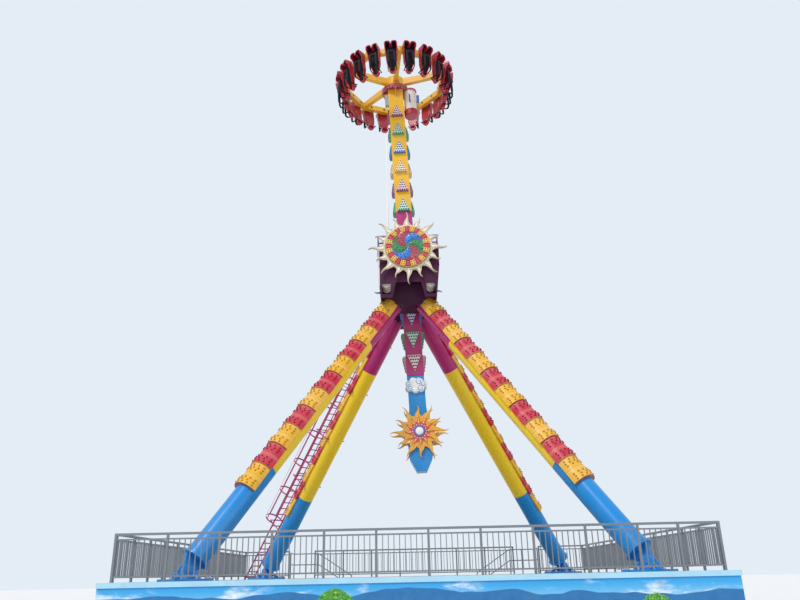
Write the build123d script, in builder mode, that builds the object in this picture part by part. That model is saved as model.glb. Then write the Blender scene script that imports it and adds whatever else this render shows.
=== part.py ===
from build123d import *
from math import ceil, pi
import os

# Pendulum ride: a counterweighted arm on two A-frames, with a turning ring of outward-facing seats.
# Lengths are in millimetres. The platform stands on the ground at Z = 0, the swing axle runs along Y,
# and the ride's front is at -Y. The swing's own pieces are drawn with the axle as their origin and the
# gondola at +Z, then leant over to the angle at which the arm stands still.

os.makedirs("parts", exist_ok=True)

# Platform and coping
deck_height = 1300.0
platform_width = 16200.0
platform_depth = 16400.0
coping_height = 130.0
coping_overhang = 30.0

# Fence round the deck
fence_height = 1200.0
fence_line_x = 7825.0
fence_line_y = 8000.0
fence_bay = 1355.0
fence_bay_count = 10
post_width = 60.0
handrail_height = 60.0
rail_height = 40.0
rail_depth = 36.0
top_gap = 80.0
bottom_gap = 110.0
baluster_width = 22.0
balusters_per_bay = 8

# Stairs at the back
stair_width = 1200.0
landing_length = 1200.0
landing_end = 5800.0
riser_count = 7
tread_depth = 290.0
stair_rail_height = 1100.0
stair_rail_size = 45.0

# A-frame legs
leg_radius = 360.0
foot_x = 6280.0
foot_y = 5950.0
foot_rise = 600.0
apex_x = 240.0
apex_y = 650.0
apex_rise = 10600.0
leg_end_rise = 10350.0
shoe_radius = 430.0
shoe_thickness = 45.0
pin_drop = 420.0
pin_radius = 60.0
lug_thickness = 160.0
lug_radius = 150.0
base_plate_size = 1150.0
base_plate_thickness = 60.0
cheek_thickness = 60.0
cheek_radius = 180.0
cheek_clearance = 5.0
foot_rib_thickness = 30.0
pin_end = 25.0
pin_clearance = 0.05

# Lamp cladding on the legs
cladding_start = 2500.0
cladding_end = 9900.0
cladding_count = 11
cladding_gap = 0.5
cladding_thin = 55.0
cladding_thick = 110.0
cladding_room = 10.0

# Tower heads and swing axle
axle_rise = 11830.0
head_inner = 500.0
head_block_depth = 1000.0
head_block_half = 1000.0
head_block_top = 11230.0
post_size = 100.0
post_inset = 60.0
web_half = 450.0
web_bottom = 9800.0
bearing_radius = 750.0
bearing_step_radius = 640.0
bearing_depth = 1000.0
bearing_step_depth = 350.0
boss_radius = 250.0
shaft_radius = 250.0
shaft_half = 1450.0
shaft_end_room = 5.0
running_clearance = 0.05
cowl_depth = 1700.0
cowl_half_top = 1195.0
cowl_half_bottom = 1060.0
cowl_bend = 11150.0
cowl_bottom = 9850.0
cowl_plate = 40.0
cowl_bearing_room = 10.0
cowl_boss_room = 5.0
cowl_mouth_top = 10470.0
cowl_mouth_half_top = 480.0
cowl_mouth_half_bottom = 620.0
balcony_floor = 11850.0
balcony_rail_height = 600.0
balcony_rail_size = 45.0
balcony_return = 380.0
balcony_edge = 20.0
window_width = 340.0
window_height = 440.0
window_x = 840.0
window_rise = 10210.0
motor_radius = 190.0
motor_length = 560.0
motor_x = 860.0
motor_rise = 10500.0
rod_x = 775.0
rod_y = 1620.0
rod_top = 17300.0
rod_radius = 45.0
rod_joint_rise = 2220.0
rod_base_thickness = 20.0

# Sun plates
sun_offset = 2300.0
sun_thickness = 100.0
sun_ring_radius = 960.0
sun_long_tip = 1520.0
sun_short_tip = 1340.0
flame_count = 16
flame_root = 330.0
sun_disc_radius = 860.0
sun_disc_thickness = 95.0
sun_swirl_radius = 590.0
block_count = 12
block_rise = 25.0
block_margin = 50.0
block_fill = 0.57

# Ladder on the back left leg
ladder_offset = 800.0
ladder_half_width = 250.0
ladder_bar = 45.0
rung_pitch = 300.0
rung_height = 28.0
ladder_top = 11000.0
clamp_pitch = 2300.0
clamp_count = 5
clamp_bar = 35.0
clamp_back = 80.0
clamp_height = 24.0
hoop_radius = 390.0
hoop_centre = 300.0
hoop_height = 60.0
hoop_plate = 10.0
hoop_pitch = 1450.0
hoop_count = 7
hoop_start = 1500.0
strap_width = 50.0

# Swing arm
swing_lean = 2.4
arm_size = 670.0
arm_chamfer = 14.0
hub_radius = 620.0
hub_half = 440.0
arm_top = 8870.0
arm_split = 2640.0
arm_bottom = -4530.0
arm_rib_reach = 260.0
arm_rib_height = 420.0
arm_rib_edge = 60.0
arm_rib_thickness = 30.0
weld_lap = 5.0
board_width = 530.0
board_height = 640.0
board_thick = 110.0
board_thin = 25.0
board_pitch = 950.0
upper_board_count = 6
lower_board_start = -1830.0
lower_board_count = 3
weight_half_depth = 320.0
weight_step = 10.0
weight_waist = -5780.0
weight_widest = -7030.0
weight_half_widest = 470.0
weight_shoulder = -7730.0
weight_tip = -8200.0
cloud_top = -4630.0
cloud_width = 820.0
cloud_height = 560.0
cloud_thickness = 70.0
crest_centre = -6730.0
crest_radius = 560.0
crest_tip = 1130.0
crest_short_tip = 990.0
crest_flames = 12
crest_thickness = 90.0
rosette_radius = 330.0
rosette_tip = 640.0
rosette_rise = 35.0
rosette_boss_radius = 210.0
rosette_boss_rise = 30.0

# Slewing flange and spin drive
flange_radius = 610.0
flange_thickness = 150.0
spigot_radius = 250.0
spigot_height = 260.0
spigot_end_room = 5.0
slew_gap = 0.3
spin_motor_radius = 275.0
spin_motor_length = 1010.0
spin_motor_x = 655.0
spin_motor_chamfer = 40.0
brake_radius = 300.0
brake_length = 300.0
terminal_depth = 160.0
terminal_width = 220.0
terminal_height = 280.0
terminal_drop = 500.0
spin_lug_thickness = 60.0
spin_lug_margin = 40.0
cabinet_depth = 160.0
cabinet_width = 210.0
cabinet_height = 550.0
cabinet_rise = 8060.0
cabinet_y = -215.0
cabinet_chamfer = 25.0

# Gondola
ring_rise = 9475.0
ring_height = 260.0
ring_outer = 2260.0
ring_inner = 2060.0
ring_sides = 10
gondola_hub_radius = 415.0
gondola_hub_height = 570.0
hub_collar_radius = 550.0
hub_collar_height = 40.0
hub_rib_reach = 125.0
hub_rib_height = 320.0
hub_rib_thickness = 24.0
spoke_count = 5
spoke_angle = 6.4
spoke_width = 200.0
spoke_root_height = 320.0
spoke_root_drop = 20.0
spoke_inset = 10.0

# Seats: X runs outward from the seat backs' foot, Z from the ring's middle plane, heads at -Z
seat_count = 20
seat_face = 2385.0
seat_half_width = 285.0
seat_shoulder_half = 235.0
seat_shoulder = -700.0
seat_neck_half = 150.0
seat_neck = -950.0
seat_lobe_radius = 140.0
seat_lobe_rise = 20.0
seat_foot = 150.0
seat_head = -1200.0
seat_recline = 210.0
seat_reach = 320.0
seat_wall = 38.0
seat_floor = 42.0
seat_edge_radius = 36.0
cushion_gap = 4.0
cushion_thickness = 48.0
cushion_setback = 20.0
bracket_width = 240.0
bracket_height = 200.0
bracket_depth = 170.0

# Shoulder restraints
harness_pin_radius = 14.0
harness_pin_x = -246.0
harness_pin_z = -1000.0
harness_half_width = 200.0
harness_arm_width = 35.0
harness_slot_half = 70.0
harness_outer = 255.0
harness_inner = 165.0
harness_foot = -260.0
harness_high = -1040.0
harness_low = -955.0
harness_back = -270.0
lug_half_width = 100.0
lug_half_height = 40.0
lug_reach = 30.0


# Places a piece at the front and again, turned half a turn about the tower, at the back
def front_and_back(source):
    with BuildPart() as pair:
        with PolarLocations(0, 2):
            add(source.part)
    return pair


# Platform: one raised block of masonry under a coping slab
with BuildPart() as platform:
    with BuildSketch():
        Rectangle(platform_width, platform_depth)
    extrude(amount=deck_height - coping_height)

with BuildPart() as coping:
    with BuildSketch(Plane.XY.offset(deck_height - coping_height)):
        Rectangle(platform_width + 2 * coping_overhang, platform_depth + 2 * coping_overhang)
    extrude(amount=coping_height)
    chamfer(coping.edges().filter_by(Axis.Z), length=coping_overhang)

# Fence: posts, handrail, two rails and square balusters, one flat panel along each side
baluster_bottom = bottom_gap + rail_height
baluster_top = fence_height - handrail_height - top_gap - rail_height


# A straight run of fence, whose posts stand at the ends of its bays
def fence_run(plane, bays):
    with BuildPart() as run:
        for start, end in bays:
            middle = (start + end) / 2
            clear = end - start - post_width
            gaps = balusters_per_bay + 1
            if clear < (fence_bay - post_width) * 0.9:
                gaps = gaps - 2
            pitch = (clear + baluster_width) / gaps
            with BuildSketch(plane):
                with Locations((middle, (bottom_gap + fence_height) / 2)):
                    Rectangle(end - start, fence_height - bottom_gap)
                with Locations((middle, fence_height - handrail_height - top_gap / 2)):
                    Rectangle(clear, top_gap, mode=Mode.SUBTRACT)
                with Locations((middle, (baluster_bottom + baluster_top) / 2)):
                    with GridLocations(pitch, 0, gaps, 1):
                        Rectangle(pitch - baluster_width, baluster_top - baluster_bottom, mode=Mode.SUBTRACT)
            extrude(amount=rail_depth / 2, both=True)
        ends = sorted({edge for bay in bays for edge in bay})
        with BuildSketch(plane):
            for along in ends:
                with Locations((along, fence_height / 2)):
                    Rectangle(post_width, fence_height)
            for start, end in bays:
                with Locations(((start + end) / 2, fence_height - handrail_height / 2)):
                    Rectangle(end - start, handrail_height)
        extrude(amount=post_width / 2, both=True)
    return run


# Equal bays between two ends
def even_bays(start, end, count):
    step = (end - start) / count
    return [(start + step * i, start + step * (i + 1)) for i in range(count)]


front_plane = Plane(origin=(0, -fence_line_y, deck_height), x_dir=(1, 0, 0), z_dir=(0, -1, 0))
back_plane = Plane(origin=(0, fence_line_y, deck_height), x_dir=(1, 0, 0), z_dir=(0, -1, 0))
left_plane = Plane(origin=(-fence_line_x, 0, deck_height), x_dir=(0, 1, 0), z_dir=(1, 0, 0))
right_plane = Plane(origin=(fence_line_x, 0, deck_height), x_dir=(0, 1, 0), z_dir=(1, 0, 0))

long_end = -fence_line_x + fence_bay * fence_bay_count
front_bays = even_bays(-fence_line_x, long_end, fence_bay_count) + even_bays(long_end, fence_line_x, 2)
side_end = fence_line_y - post_width
side_count = ceil(2 * side_end / fence_bay)
landing_start = landing_end - landing_length
side_bays_length = fence_line_x - landing_end
middle_count = ceil(2 * landing_start / fence_bay)

fence_front = fence_run(front_plane, front_bays)
fence_left = fence_run(left_plane, even_bays(-side_end, side_end, side_count))
fence_right = fence_run(right_plane, even_bays(-side_end, side_end, side_count))
corner_count = ceil(side_bays_length / fence_bay)
fence_back_left = fence_run(back_plane, even_bays(-fence_line_x, -landing_end, corner_count))
fence_back_middle = fence_run(back_plane, even_bays(-landing_start, landing_start, middle_count))
fence_back_right = fence_run(back_plane, even_bays(landing_end, fence_line_x, corner_count))
with BuildPart() as fence_back:
    add(fence_back_left.part)
    add(fence_back_middle.part)
    add(fence_back_right.part)

# Stairs: two flights along the back wall that come down towards the middle
stair_edge = platform_depth / 2 + coping_overhang
riser = deck_height / riser_count
foot_of_flight = landing_start - tread_depth * (riser_count - 1)
stair_plane = Plane(origin=(0, stair_edge + stair_width, 0), x_dir=(1, 0, 0), z_dir=(0, -1, 0))

with BuildPart() as stair_right:
    with BuildSketch(stair_plane):
        with BuildLine():
            steps = [(landing_end, 0), (landing_end, deck_height), (landing_start, deck_height)]
            for i in range(1, riser_count):
                edge = landing_start - tread_depth * (i - 1)
                level = deck_height - riser * i
                steps += [(edge, level), (edge - tread_depth, level)]
            steps += [(foot_of_flight, 0)]
            Polyline(steps, close=True)
        make_face()
    extrude(amount=stair_width)

with BuildPart() as stairs:
    add(stair_right.part)
    mirror(stair_right.part, about=Plane.YZ)

# Stair guards: a flat frame of posts and two rails on the open side, with a return at the landing's end
guard_plane = Plane(origin=(0, stair_edge + stair_width - stair_rail_size, 0), x_dir=(1, 0, 0), z_dir=(0, -1, 0))
guard_middle = stair_rail_height * 0.55
rail_half = stair_rail_size / 2
last_post = foot_of_flight + tread_depth / 2


# Height of the line through the treads' noses
def nosing(x):
    return deck_height - max(0, landing_start - x) * riser / tread_depth


# Post places, each with the height of the surface that it stands on
guard_posts = [
    (landing_end - rail_half, deck_height),
    ((landing_end + landing_start) / 2, deck_height),
    (landing_start + rail_half, deck_height),
    (landing_start - tread_depth * 3.5, deck_height - riser * 4),
    (last_post, riser),
]

with BuildPart() as guard_right:
    for rise in (stair_rail_height, guard_middle):
        low = rise - rail_half
        high = rise + rail_half
        with BuildSketch(guard_plane):
            Polygon(
                (landing_end, deck_height + low),
                (landing_start, deck_height + low),
                (last_post, nosing(last_post) + low),
                (last_post, nosing(last_post) + high),
                (landing_start, deck_height + high),
                (landing_end, deck_height + high),
                align=None,
            )
        extrude(amount=rail_half, both=True)
    for x, z in guard_posts:
        top = nosing(x) + stair_rail_height
        with BuildSketch(guard_plane):
            with Locations((x, (z + top) / 2)):
                Rectangle(stair_rail_size, top - z)
        extrude(amount=rail_half, both=True)
    return_plane = Plane(origin=(landing_end - rail_half, 0, 0), x_dir=(0, 1, 0), z_dir=(1, 0, 0))
    return_start = stair_edge + stair_rail_size
    return_end = stair_edge + stair_width - stair_rail_size
    with BuildSketch(return_plane):
        for rise in (stair_rail_height, guard_middle):
            with Locations(((return_start + return_end) / 2, deck_height + rise)):
                Rectangle(return_end - return_start, stair_rail_size)
        with Locations((return_start + rail_half, deck_height + stair_rail_height / 2)):
            Rectangle(stair_rail_size, stair_rail_height)
    extrude(amount=rail_half, both=True)

with BuildPart() as stair_guards:
    add(guard_right.part)
    mirror(guard_right.part, about=Plane.YZ)

# One leg's own frame: up the leg is Z, and X points out and up from the leg, away from the tower
foot_point = Vector(foot_x, -foot_y, deck_height + foot_rise)
apex_point = Vector(apex_x, -apex_y, deck_height + apex_rise)
leg_axis = (apex_point - foot_point).normalized()
across_leg = Vector(0, 0, 1).cross(leg_axis).normalized()
out_of_leg = leg_axis.cross(across_leg)
outward = Vector(leg_axis.X, leg_axis.Y, 0).normalized() * -1
leg_plane = Plane(origin=foot_point, x_dir=out_of_leg, z_dir=leg_axis)
leg_side = Plane(origin=foot_point, x_dir=out_of_leg, z_dir=out_of_leg.cross(leg_axis))
leg_length = (leg_end_rise - foot_rise) / leg_axis.Z
pin_point = foot_point - leg_axis * pin_drop
head_face = Plane(origin=(0, -head_inner, 0), z_dir=(0, -1, 0))

with BuildPart() as leg:
    with BuildSketch(leg_plane):
        Circle(leg_radius)
    extrude(amount=leg_length)
    with BuildSketch(leg_plane):
        Circle(shoe_radius)
    extrude(amount=-shoe_thickness)
    with BuildSketch(leg_side):
        with BuildLine():
            Polyline(
                (-shoe_radius * 0.8, -shoe_thickness),
                (shoe_radius * 0.8, -shoe_thickness),
                (lug_radius * 0.9, -pin_drop),
                (-lug_radius * 0.9, -pin_drop),
                close=True,
            )
        make_face()
        with Locations((0, -pin_drop)):
            Circle(lug_radius)
            Circle(pin_radius, mode=Mode.SUBTRACT)
    extrude(amount=lug_thickness / 2, both=True)
    split(bisect_by=head_face, keep=Keep.TOP)
    split(bisect_by=Plane.YZ, keep=Keep.TOP)

# Foot: a base plate, two cheeks on the pin's line, their ribs and the pin
foot_side = Plane(origin=(pin_point.X, pin_point.Y, deck_height), x_dir=outward, z_dir=across_leg)
foot_floor = Plane(origin=(pin_point.X, pin_point.Y, deck_height), x_dir=outward, z_dir=(0, 0, 1))
pin_rise = pin_point.Z - deck_height
cheek_offset = lug_thickness / 2 + cheek_clearance
cheek_half = base_plate_size * 0.37

with BuildPart() as foot:
    with BuildSketch(foot_floor):
        Rectangle(base_plate_size, base_plate_size)
    extrude(amount=base_plate_thickness)
    for side in (1, -1):
        with BuildSketch(foot_side.offset(side * cheek_offset)):
            with BuildLine():
                Polyline(
                    (-cheek_half, base_plate_thickness),
                    (cheek_half, base_plate_thickness),
                    (cheek_radius * 0.9, pin_rise),
                    (-cheek_radius * 0.9, pin_rise),
                    close=True,
                )
            make_face()
            with Locations((0, pin_rise)):
                Circle(cheek_radius)
        extrude(amount=side * cheek_thickness)
        rib_start = cheek_offset + cheek_thickness
        rib_plane = Plane(
            origin=foot_side.origin, x_dir=across_leg * side, z_dir=(across_leg * side).cross(Vector(0, 0, 1))
        )
        for along in (-cheek_half * 0.5, cheek_half * 0.5):
            with BuildSketch(rib_plane.offset(along)):
                Polygon(
                    (rib_start, base_plate_thickness),
                    (base_plate_size * 0.46, base_plate_thickness),
                    (rib_start, pin_rise),
                    align=None,
                )
            extrude(amount=foot_rib_thickness / 2, both=True)
    with BuildSketch(foot_side):
        with Locations((0, pin_rise)):
            Circle(pin_radius - pin_clearance)
    extrude(amount=cheek_offset + cheek_thickness + pin_end, both=True)

# Cladding: overlapping half shells with a lip at each lower end, round the leg's outer side
cladding_low = (cladding_start - foot_rise) / leg_axis.Z
cladding_high = (cladding_end - foot_rise) / leg_axis.Z
shell_length = (cladding_high - cladding_low) / cladding_count
cladding_inner = leg_radius + cladding_gap

with BuildPart() as cladding:
    with BuildSketch(leg_side):
        with BuildLine():
            teeth = [(cladding_inner, cladding_high)]
            for i in range(cladding_count):
                head = cladding_high - shell_length * i
                teeth += [
                    (leg_radius + cladding_thin, head),
                    (leg_radius + cladding_thick, head - shell_length),
                ]
            teeth += [(cladding_inner, cladding_low)]
            Polyline(teeth, close=True)
        make_face()
    revolve(axis=Axis(foot_point, leg_axis))
    split(bisect_by=Plane(origin=foot_point, z_dir=out_of_leg), keep=Keep.TOP)

# Room for the clad stretch of a leg, cut from what stands round it
with BuildPart() as leg_room:
    with BuildSketch(leg_plane):
        Circle(leg_radius + cladding_thick + cladding_room)
    extrude(amount=cladding_high + cladding_room)

# The front right leg's pieces stand at each corner, mirrored across the middle planes
with BuildPart() as leg_front_left:
    mirror(leg.part, about=Plane.YZ)
with BuildPart() as leg_back_right:
    mirror(leg.part, about=Plane.XZ)
with BuildPart() as leg_back_left:
    mirror(leg_front_left.part, about=Plane.XZ)
with BuildPart() as cladding_front:
    add(cladding.part)
    mirror(cladding.part, about=Plane.YZ)
with BuildPart() as leg_cladding:
    add(cladding_front.part)
    mirror(cladding_front.part, about=Plane.XZ)
with BuildPart() as front_feet:
    add(foot.part)
    mirror(foot.part, about=Plane.YZ)
with BuildPart() as leg_feet:
    add(front_feet.part)
    mirror(front_feet.part, about=Plane.XZ)

# Tower head: a block that joins two legs, a web between them, and posts that carry the cowl
axle_height = deck_height + axle_rise
block_bottom = deck_height + leg_end_rise
block_top = deck_height + head_block_top
floor_height = deck_height + balcony_floor
post_x = head_block_half - post_inset
head_front_plane = Plane.XZ.offset(head_inner)

with BuildPart() as tower_head_front:
    with BuildSketch(head_front_plane):
        Polygon(
            (-web_half, deck_height + web_bottom),
            (web_half, deck_height + web_bottom),
            (head_block_half, block_bottom),
            (head_block_half, block_top),
            (-head_block_half, block_top),
            (-head_block_half, block_bottom),
            align=None,
        )
    extrude(amount=head_block_depth)
    post_centre = head_inner + head_block_depth / 2
    with BuildSketch(Plane.XY.offset(block_top)):
        with Locations((0, -post_centre)):
            with GridLocations(2 * post_x, head_block_depth - post_size, 2, 2):
                Rectangle(post_size, post_size)
    extrude(amount=floor_height - cowl_plate - block_top)
    for cutter in (leg, leg_front_left, leg_room):
        add(cutter.part, mode=Mode.SUBTRACT)
    mirror(leg_room.part, about=Plane.YZ, mode=Mode.SUBTRACT)

# Main bearing: a split housing on the head block, a stepped cap and the boss that carries the sun
with BuildPart() as bearing_front:
    with BuildSketch(head_front_plane):
        with Locations((0, axle_height)):
            Circle(bearing_radius)
        with Locations((0, (block_top + axle_height) / 2)):
            Rectangle(2 * bearing_radius, axle_height - block_top)
    extrude(amount=bearing_depth)
    with BuildSketch(head_front_plane.offset(bearing_depth)):
        with Locations((0, axle_height)):
            Circle(bearing_step_radius)
    extrude(amount=bearing_step_depth)
    with BuildSketch(head_front_plane.offset(bearing_depth + bearing_step_depth)):
        with Locations((0, axle_height)):
            Circle(boss_radius)
    extrude(amount=sun_offset - head_inner - bearing_depth - bearing_step_depth)
    with BuildSketch(head_front_plane):
        with Locations((0, axle_height)):
            Circle(shaft_radius + running_clearance)
    extrude(amount=shaft_half - head_inner + shaft_end_room, mode=Mode.SUBTRACT)
    split(bisect_by=Plane.XY.offset(block_top), keep=Keep.TOP)

# Cowl: the sheet hood round the head, whose top is the balcony floor, open below and towards the arm,
# with a mouth in its front sheet where the legs meet and a window before each motor
cowl_outline = [
    (-cowl_half_top, balcony_floor),
    (-cowl_half_top, cowl_bend),
    (-cowl_half_bottom, cowl_bottom),
    (cowl_half_bottom, cowl_bottom),
    (cowl_half_top, cowl_bend),
    (cowl_half_top, balcony_floor),
]
with BuildPart() as cowl_front:
    with BuildSketch(head_front_plane):
        Polygon(*[(x, deck_height + z) for x, z in cowl_outline], align=None)
    extrude(amount=cowl_depth)
    with BuildSketch(head_front_plane):
        inner = [
            (-cowl_half_top + cowl_plate, floor_height - cowl_plate),
            (-cowl_half_top + cowl_plate, deck_height + cowl_bend),
            (-cowl_half_bottom + cowl_plate, deck_height + cowl_bottom),
            (cowl_half_bottom - cowl_plate, deck_height + cowl_bottom),
            (cowl_half_top - cowl_plate, deck_height + cowl_bend),
            (cowl_half_top - cowl_plate, floor_height - cowl_plate),
        ]
        Polygon(*inner, align=None)
    extrude(amount=cowl_depth - cowl_plate, mode=Mode.SUBTRACT)
    with BuildSketch(head_front_plane):
        with Locations((0, axle_height)):
            Circle(bearing_radius + cowl_bearing_room)
    extrude(amount=bearing_depth + bearing_step_depth + cowl_bearing_room, mode=Mode.SUBTRACT)
    with BuildSketch(head_front_plane):
        with Locations((0, axle_height)):
            Circle(boss_radius + cowl_boss_room)
        with Locations((window_x, deck_height + window_rise), (-window_x, deck_height + window_rise)):
            Rectangle(window_width, window_height)
        Polygon(
            (-cowl_mouth_half_bottom, deck_height + cowl_bottom),
            (cowl_mouth_half_bottom, deck_height + cowl_bottom),
            (cowl_mouth_half_top, deck_height + cowl_mouth_top),
            (-cowl_mouth_half_top, deck_height + cowl_mouth_top),
            align=None,
        )
    extrude(amount=cowl_depth, mode=Mode.SUBTRACT)
    add(leg_room.part, mode=Mode.SUBTRACT)
    mirror(leg_room.part, about=Plane.YZ, mode=Mode.SUBTRACT)

# Balcony rails: a flat frame on the outer edge of the floor with a return at each end
guard_outer = cowl_half_top - balcony_edge
guard_near = head_inner + 2 * balcony_edge
guard_far = head_inner + cowl_depth - balcony_edge


# A rail frame in its own plane, with a top rail, a middle rail and uprights
def frame_face(length, height, uprights):
    size = balcony_rail_size
    with Locations((length / 2, height / 2)):
        Rectangle(length, height)
    clear = (length - size * uprights) / (uprights - 1)
    opening = (height - size) / 2 - size / 2
    for i in range(uprights - 1):
        x = size + clear / 2 + i * (clear + size)
        with Locations((x, opening / 2), (x, opening + size + opening / 2)):
            Rectangle(clear, opening, mode=Mode.SUBTRACT)


with BuildPart() as balcony_side:
    side_plane = Plane(origin=(guard_outer, -guard_near, floor_height), x_dir=(0, -1, 0), z_dir=(-1, 0, 0))
    with BuildSketch(side_plane):
        frame_face(guard_far - guard_near, balcony_rail_height, 3)
    extrude(amount=balcony_rail_size)
    for y, direction in ((-guard_far, 1), (-guard_near, -1)):
        end_plane = Plane(origin=(guard_outer - balcony_return, y, floor_height), x_dir=(1, 0, 0), z_dir=(0, -1, 0))
        with BuildSketch(end_plane):
            frame_face(balcony_return, balcony_rail_height, 2)
        extrude(amount=-balcony_rail_size * direction)

with BuildPart() as balcony_front:
    add(balcony_side.part)
    mirror(balcony_side.part, about=Plane.YZ)

balcony_rails = front_and_back(balcony_front)
bearing_housings = front_and_back(bearing_front)

# Swing drive: a motor on the head block each side of the legs, behind the cowl's windows
with BuildPart() as drive_front:
    with BuildSketch(head_front_plane.offset(head_block_depth)):
        with Locations((motor_x, deck_height + motor_rise), (-motor_x, deck_height + motor_rise)):
            Circle(motor_radius)
    extrude(amount=motor_length)
    motor_ends = faces().filter_by(Axis.Y).sort_by(Axis.Y)[:2]
    chamfer(motor_ends.edges(), length=motor_radius * 0.2)

swing_drives = front_and_back(drive_front)
with BuildPart() as tower_heads:
    add(tower_head_front.part)
    mirror(tower_head_front.part, about=Plane.XZ)
with BuildPart() as head_cowls:
    add(cowl_front.part)
    mirror(cowl_front.part, about=Plane.XZ)

# Lightning rod on the front balcony
rod_foot = Plane(origin=(-rod_x, -rod_y, floor_height))
with BuildPart() as lightning_rod:
    with BuildSketch(rod_foot):
        Circle(rod_radius * 2)
    extrude(amount=rod_base_thickness)
    with BuildSketch(rod_foot.offset(rod_base_thickness)):
        RegularPolygon(rod_radius, 8)
    extrude(amount=rod_joint_rise - rod_base_thickness)
    with BuildSketch(rod_foot.offset(rod_joint_rise)):
        RegularPolygon(rod_radius * 0.6, 8)
    extrude(amount=deck_height + rod_top - floor_height - rod_joint_rise, taper=0.15)


# One wavy tongue that stands on a ring, curls one way and ends in a point
def flame(ring, tip, root):
    low = ring * 0.97
    reach = tip - low
    with BuildSketch() as tongue:
        with BuildLine():
            right = Spline(
                (low, -root * 0.50),
                (low + reach * 0.30, -root * 0.16),
                (low + reach * 0.68, -root * 0.13),
                (tip, root * 0.14),
            )
            left = Spline(
                (tip, root * 0.14),
                (low + reach * 0.66, root * 0.03),
                (low + reach * 0.30, root * 0.30),
                (low, root * 0.50),
            )
            Line(right @ 0, left @ 1)
        make_face()
    return tongue.sketch


# A round plate edged with flames of two lengths, in turn
def flame_disc(ring, long_tip, short_tip, root, count):
    long_flame = flame(ring, long_tip, root)
    short_flame = flame(ring, short_tip, root)
    with BuildSketch() as disc:
        Circle(ring)
        with PolarLocations(0, count // 2):
            add(long_flame)
        with PolarLocations(0, count // 2, start_angle=360 / count):
            add(short_flame)
    return disc.sketch


# Sun plates: flat plates on the bearing bosses
sun_centre = Plane(origin=(0, -sun_offset, axle_height), x_dir=(1, 0, 0), z_dir=(0, -1, 0))
sun_outline = flame_disc(sun_ring_radius, sun_long_tip, sun_short_tip, flame_root, flame_count)
with BuildPart() as sun_plate_front:
    with BuildSketch(sun_centre):
        add(sun_outline)
    extrude(amount=sun_thickness)

# Sun disc: a drum on each plate, with a raised swirl panel inside a ring of raised blocks
disc_face = sun_centre.offset(sun_thickness + sun_disc_thickness)
block_middle = (sun_disc_radius + sun_swirl_radius) / 2
block_pitch = 2 * pi * block_middle / block_count
with BuildPart() as sun_disc_front:
    with BuildSketch(sun_centre.offset(sun_thickness)):
        Circle(sun_disc_radius)
    extrude(amount=sun_disc_thickness)
    with BuildSketch(disc_face):
        Circle(sun_swirl_radius)
        with PolarLocations(block_middle, block_count, start_angle=180 / block_count):
            Rectangle(sun_disc_radius - sun_swirl_radius - block_margin, block_pitch * block_fill)
    extrude(amount=block_rise)

sun_plates = front_and_back(sun_plate_front)
sun_discs = front_and_back(sun_disc_front)

# Ladder on the outer side of the back left leg, with yokes round the leg and its cladding
back_foot = Vector(-foot_point.X, -foot_point.Y, foot_point.Z)
back_axis = Vector(-leg_axis.X, -leg_axis.Y, leg_axis.Z)
back_out = Vector(-out_of_leg.X, -out_of_leg.Y, out_of_leg.Z)
back_across = back_axis.cross(back_out)
ladder_plane = Plane(origin=back_foot + back_out * ladder_offset, x_dir=back_across, z_dir=back_out)
ladder_low = -(foot_rise + ladder_offset * back_out.Z) / back_axis.Z
rung_count = ceil((ladder_top - ladder_low) / rung_pitch)
ladder_length = rung_count * rung_pitch
clamp_inner = leg_radius + cladding_thick + 15
clamp_far = ladder_offset - ladder_bar / 2

with BuildPart() as ladder:
    with BuildSketch(ladder_plane):
        with Locations((0, ladder_top - ladder_length / 2)):
            Rectangle(2 * ladder_half_width, ladder_length)
            with GridLocations(0, rung_pitch, 1, rung_count):
                Rectangle(
                    2 * (ladder_half_width - ladder_bar), rung_pitch - rung_height, mode=Mode.SUBTRACT
                )
    extrude(amount=ladder_bar / 2, both=True)
    for i in range(clamp_count):
        along = cladding_low - leg_radius * 2 + clamp_pitch * i
        clamp_plane = Plane(origin=back_foot + back_axis * along, x_dir=back_out, z_dir=back_axis)
        with BuildSketch(clamp_plane):
            with Locations(((clamp_far - clamp_back) / 2, 0)):
                Rectangle(clamp_far + clamp_back, 2 * (clamp_inner + clamp_bar))
            with Locations(((clamp_far - clamp_back) / 2, 0)):
                Rectangle(clamp_far + clamp_back - 2 * clamp_bar, 2 * clamp_inner, mode=Mode.SUBTRACT)
            with Locations((-clamp_back / 2, 0)):
                Rectangle(clamp_back - 2 * cladding_gap, 2 * clamp_inner)
            Circle(leg_radius, mode=Mode.SUBTRACT)
        extrude(amount=clamp_height / 2, both=True)
    split(bisect_by=Plane.XY.offset(deck_height), keep=Keep.TOP)

# Safety cage: flat hoops that start on the ladder's stringers, tied by straps
with BuildPart() as ladder_cage:
    cage_length = hoop_pitch * (hoop_count - 1)
    cage_x = ladder_offset + ladder_bar / 2
    for i in range(hoop_count):
        hoop_plane = Plane(
            origin=back_foot + back_axis * (hoop_start + hoop_pitch * i), x_dir=back_out, z_dir=back_axis
        )
        with BuildSketch(hoop_plane):
            with Locations((cage_x + hoop_centre, 0)):
                Circle(hoop_radius)
                Circle(hoop_radius - hoop_plate, mode=Mode.SUBTRACT)
            with Locations((cage_x - hoop_radius, 0)):
                Rectangle(2 * hoop_radius, 4 * hoop_radius, mode=Mode.SUBTRACT)
        extrude(amount=hoop_height)
    strap_plane = Plane(origin=back_foot + back_axis * hoop_start, x_dir=back_out, z_dir=back_axis)
    with BuildSketch(strap_plane):
        with Locations((cage_x + hoop_centre, 0)):
            with PolarLocations(hoop_radius - hoop_plate / 2, 5, start_angle=-90, angular_range=180, endpoint=True):
                Rectangle(hoop_plate, strap_width)
    extrude(amount=cage_length + hoop_height)

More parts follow.
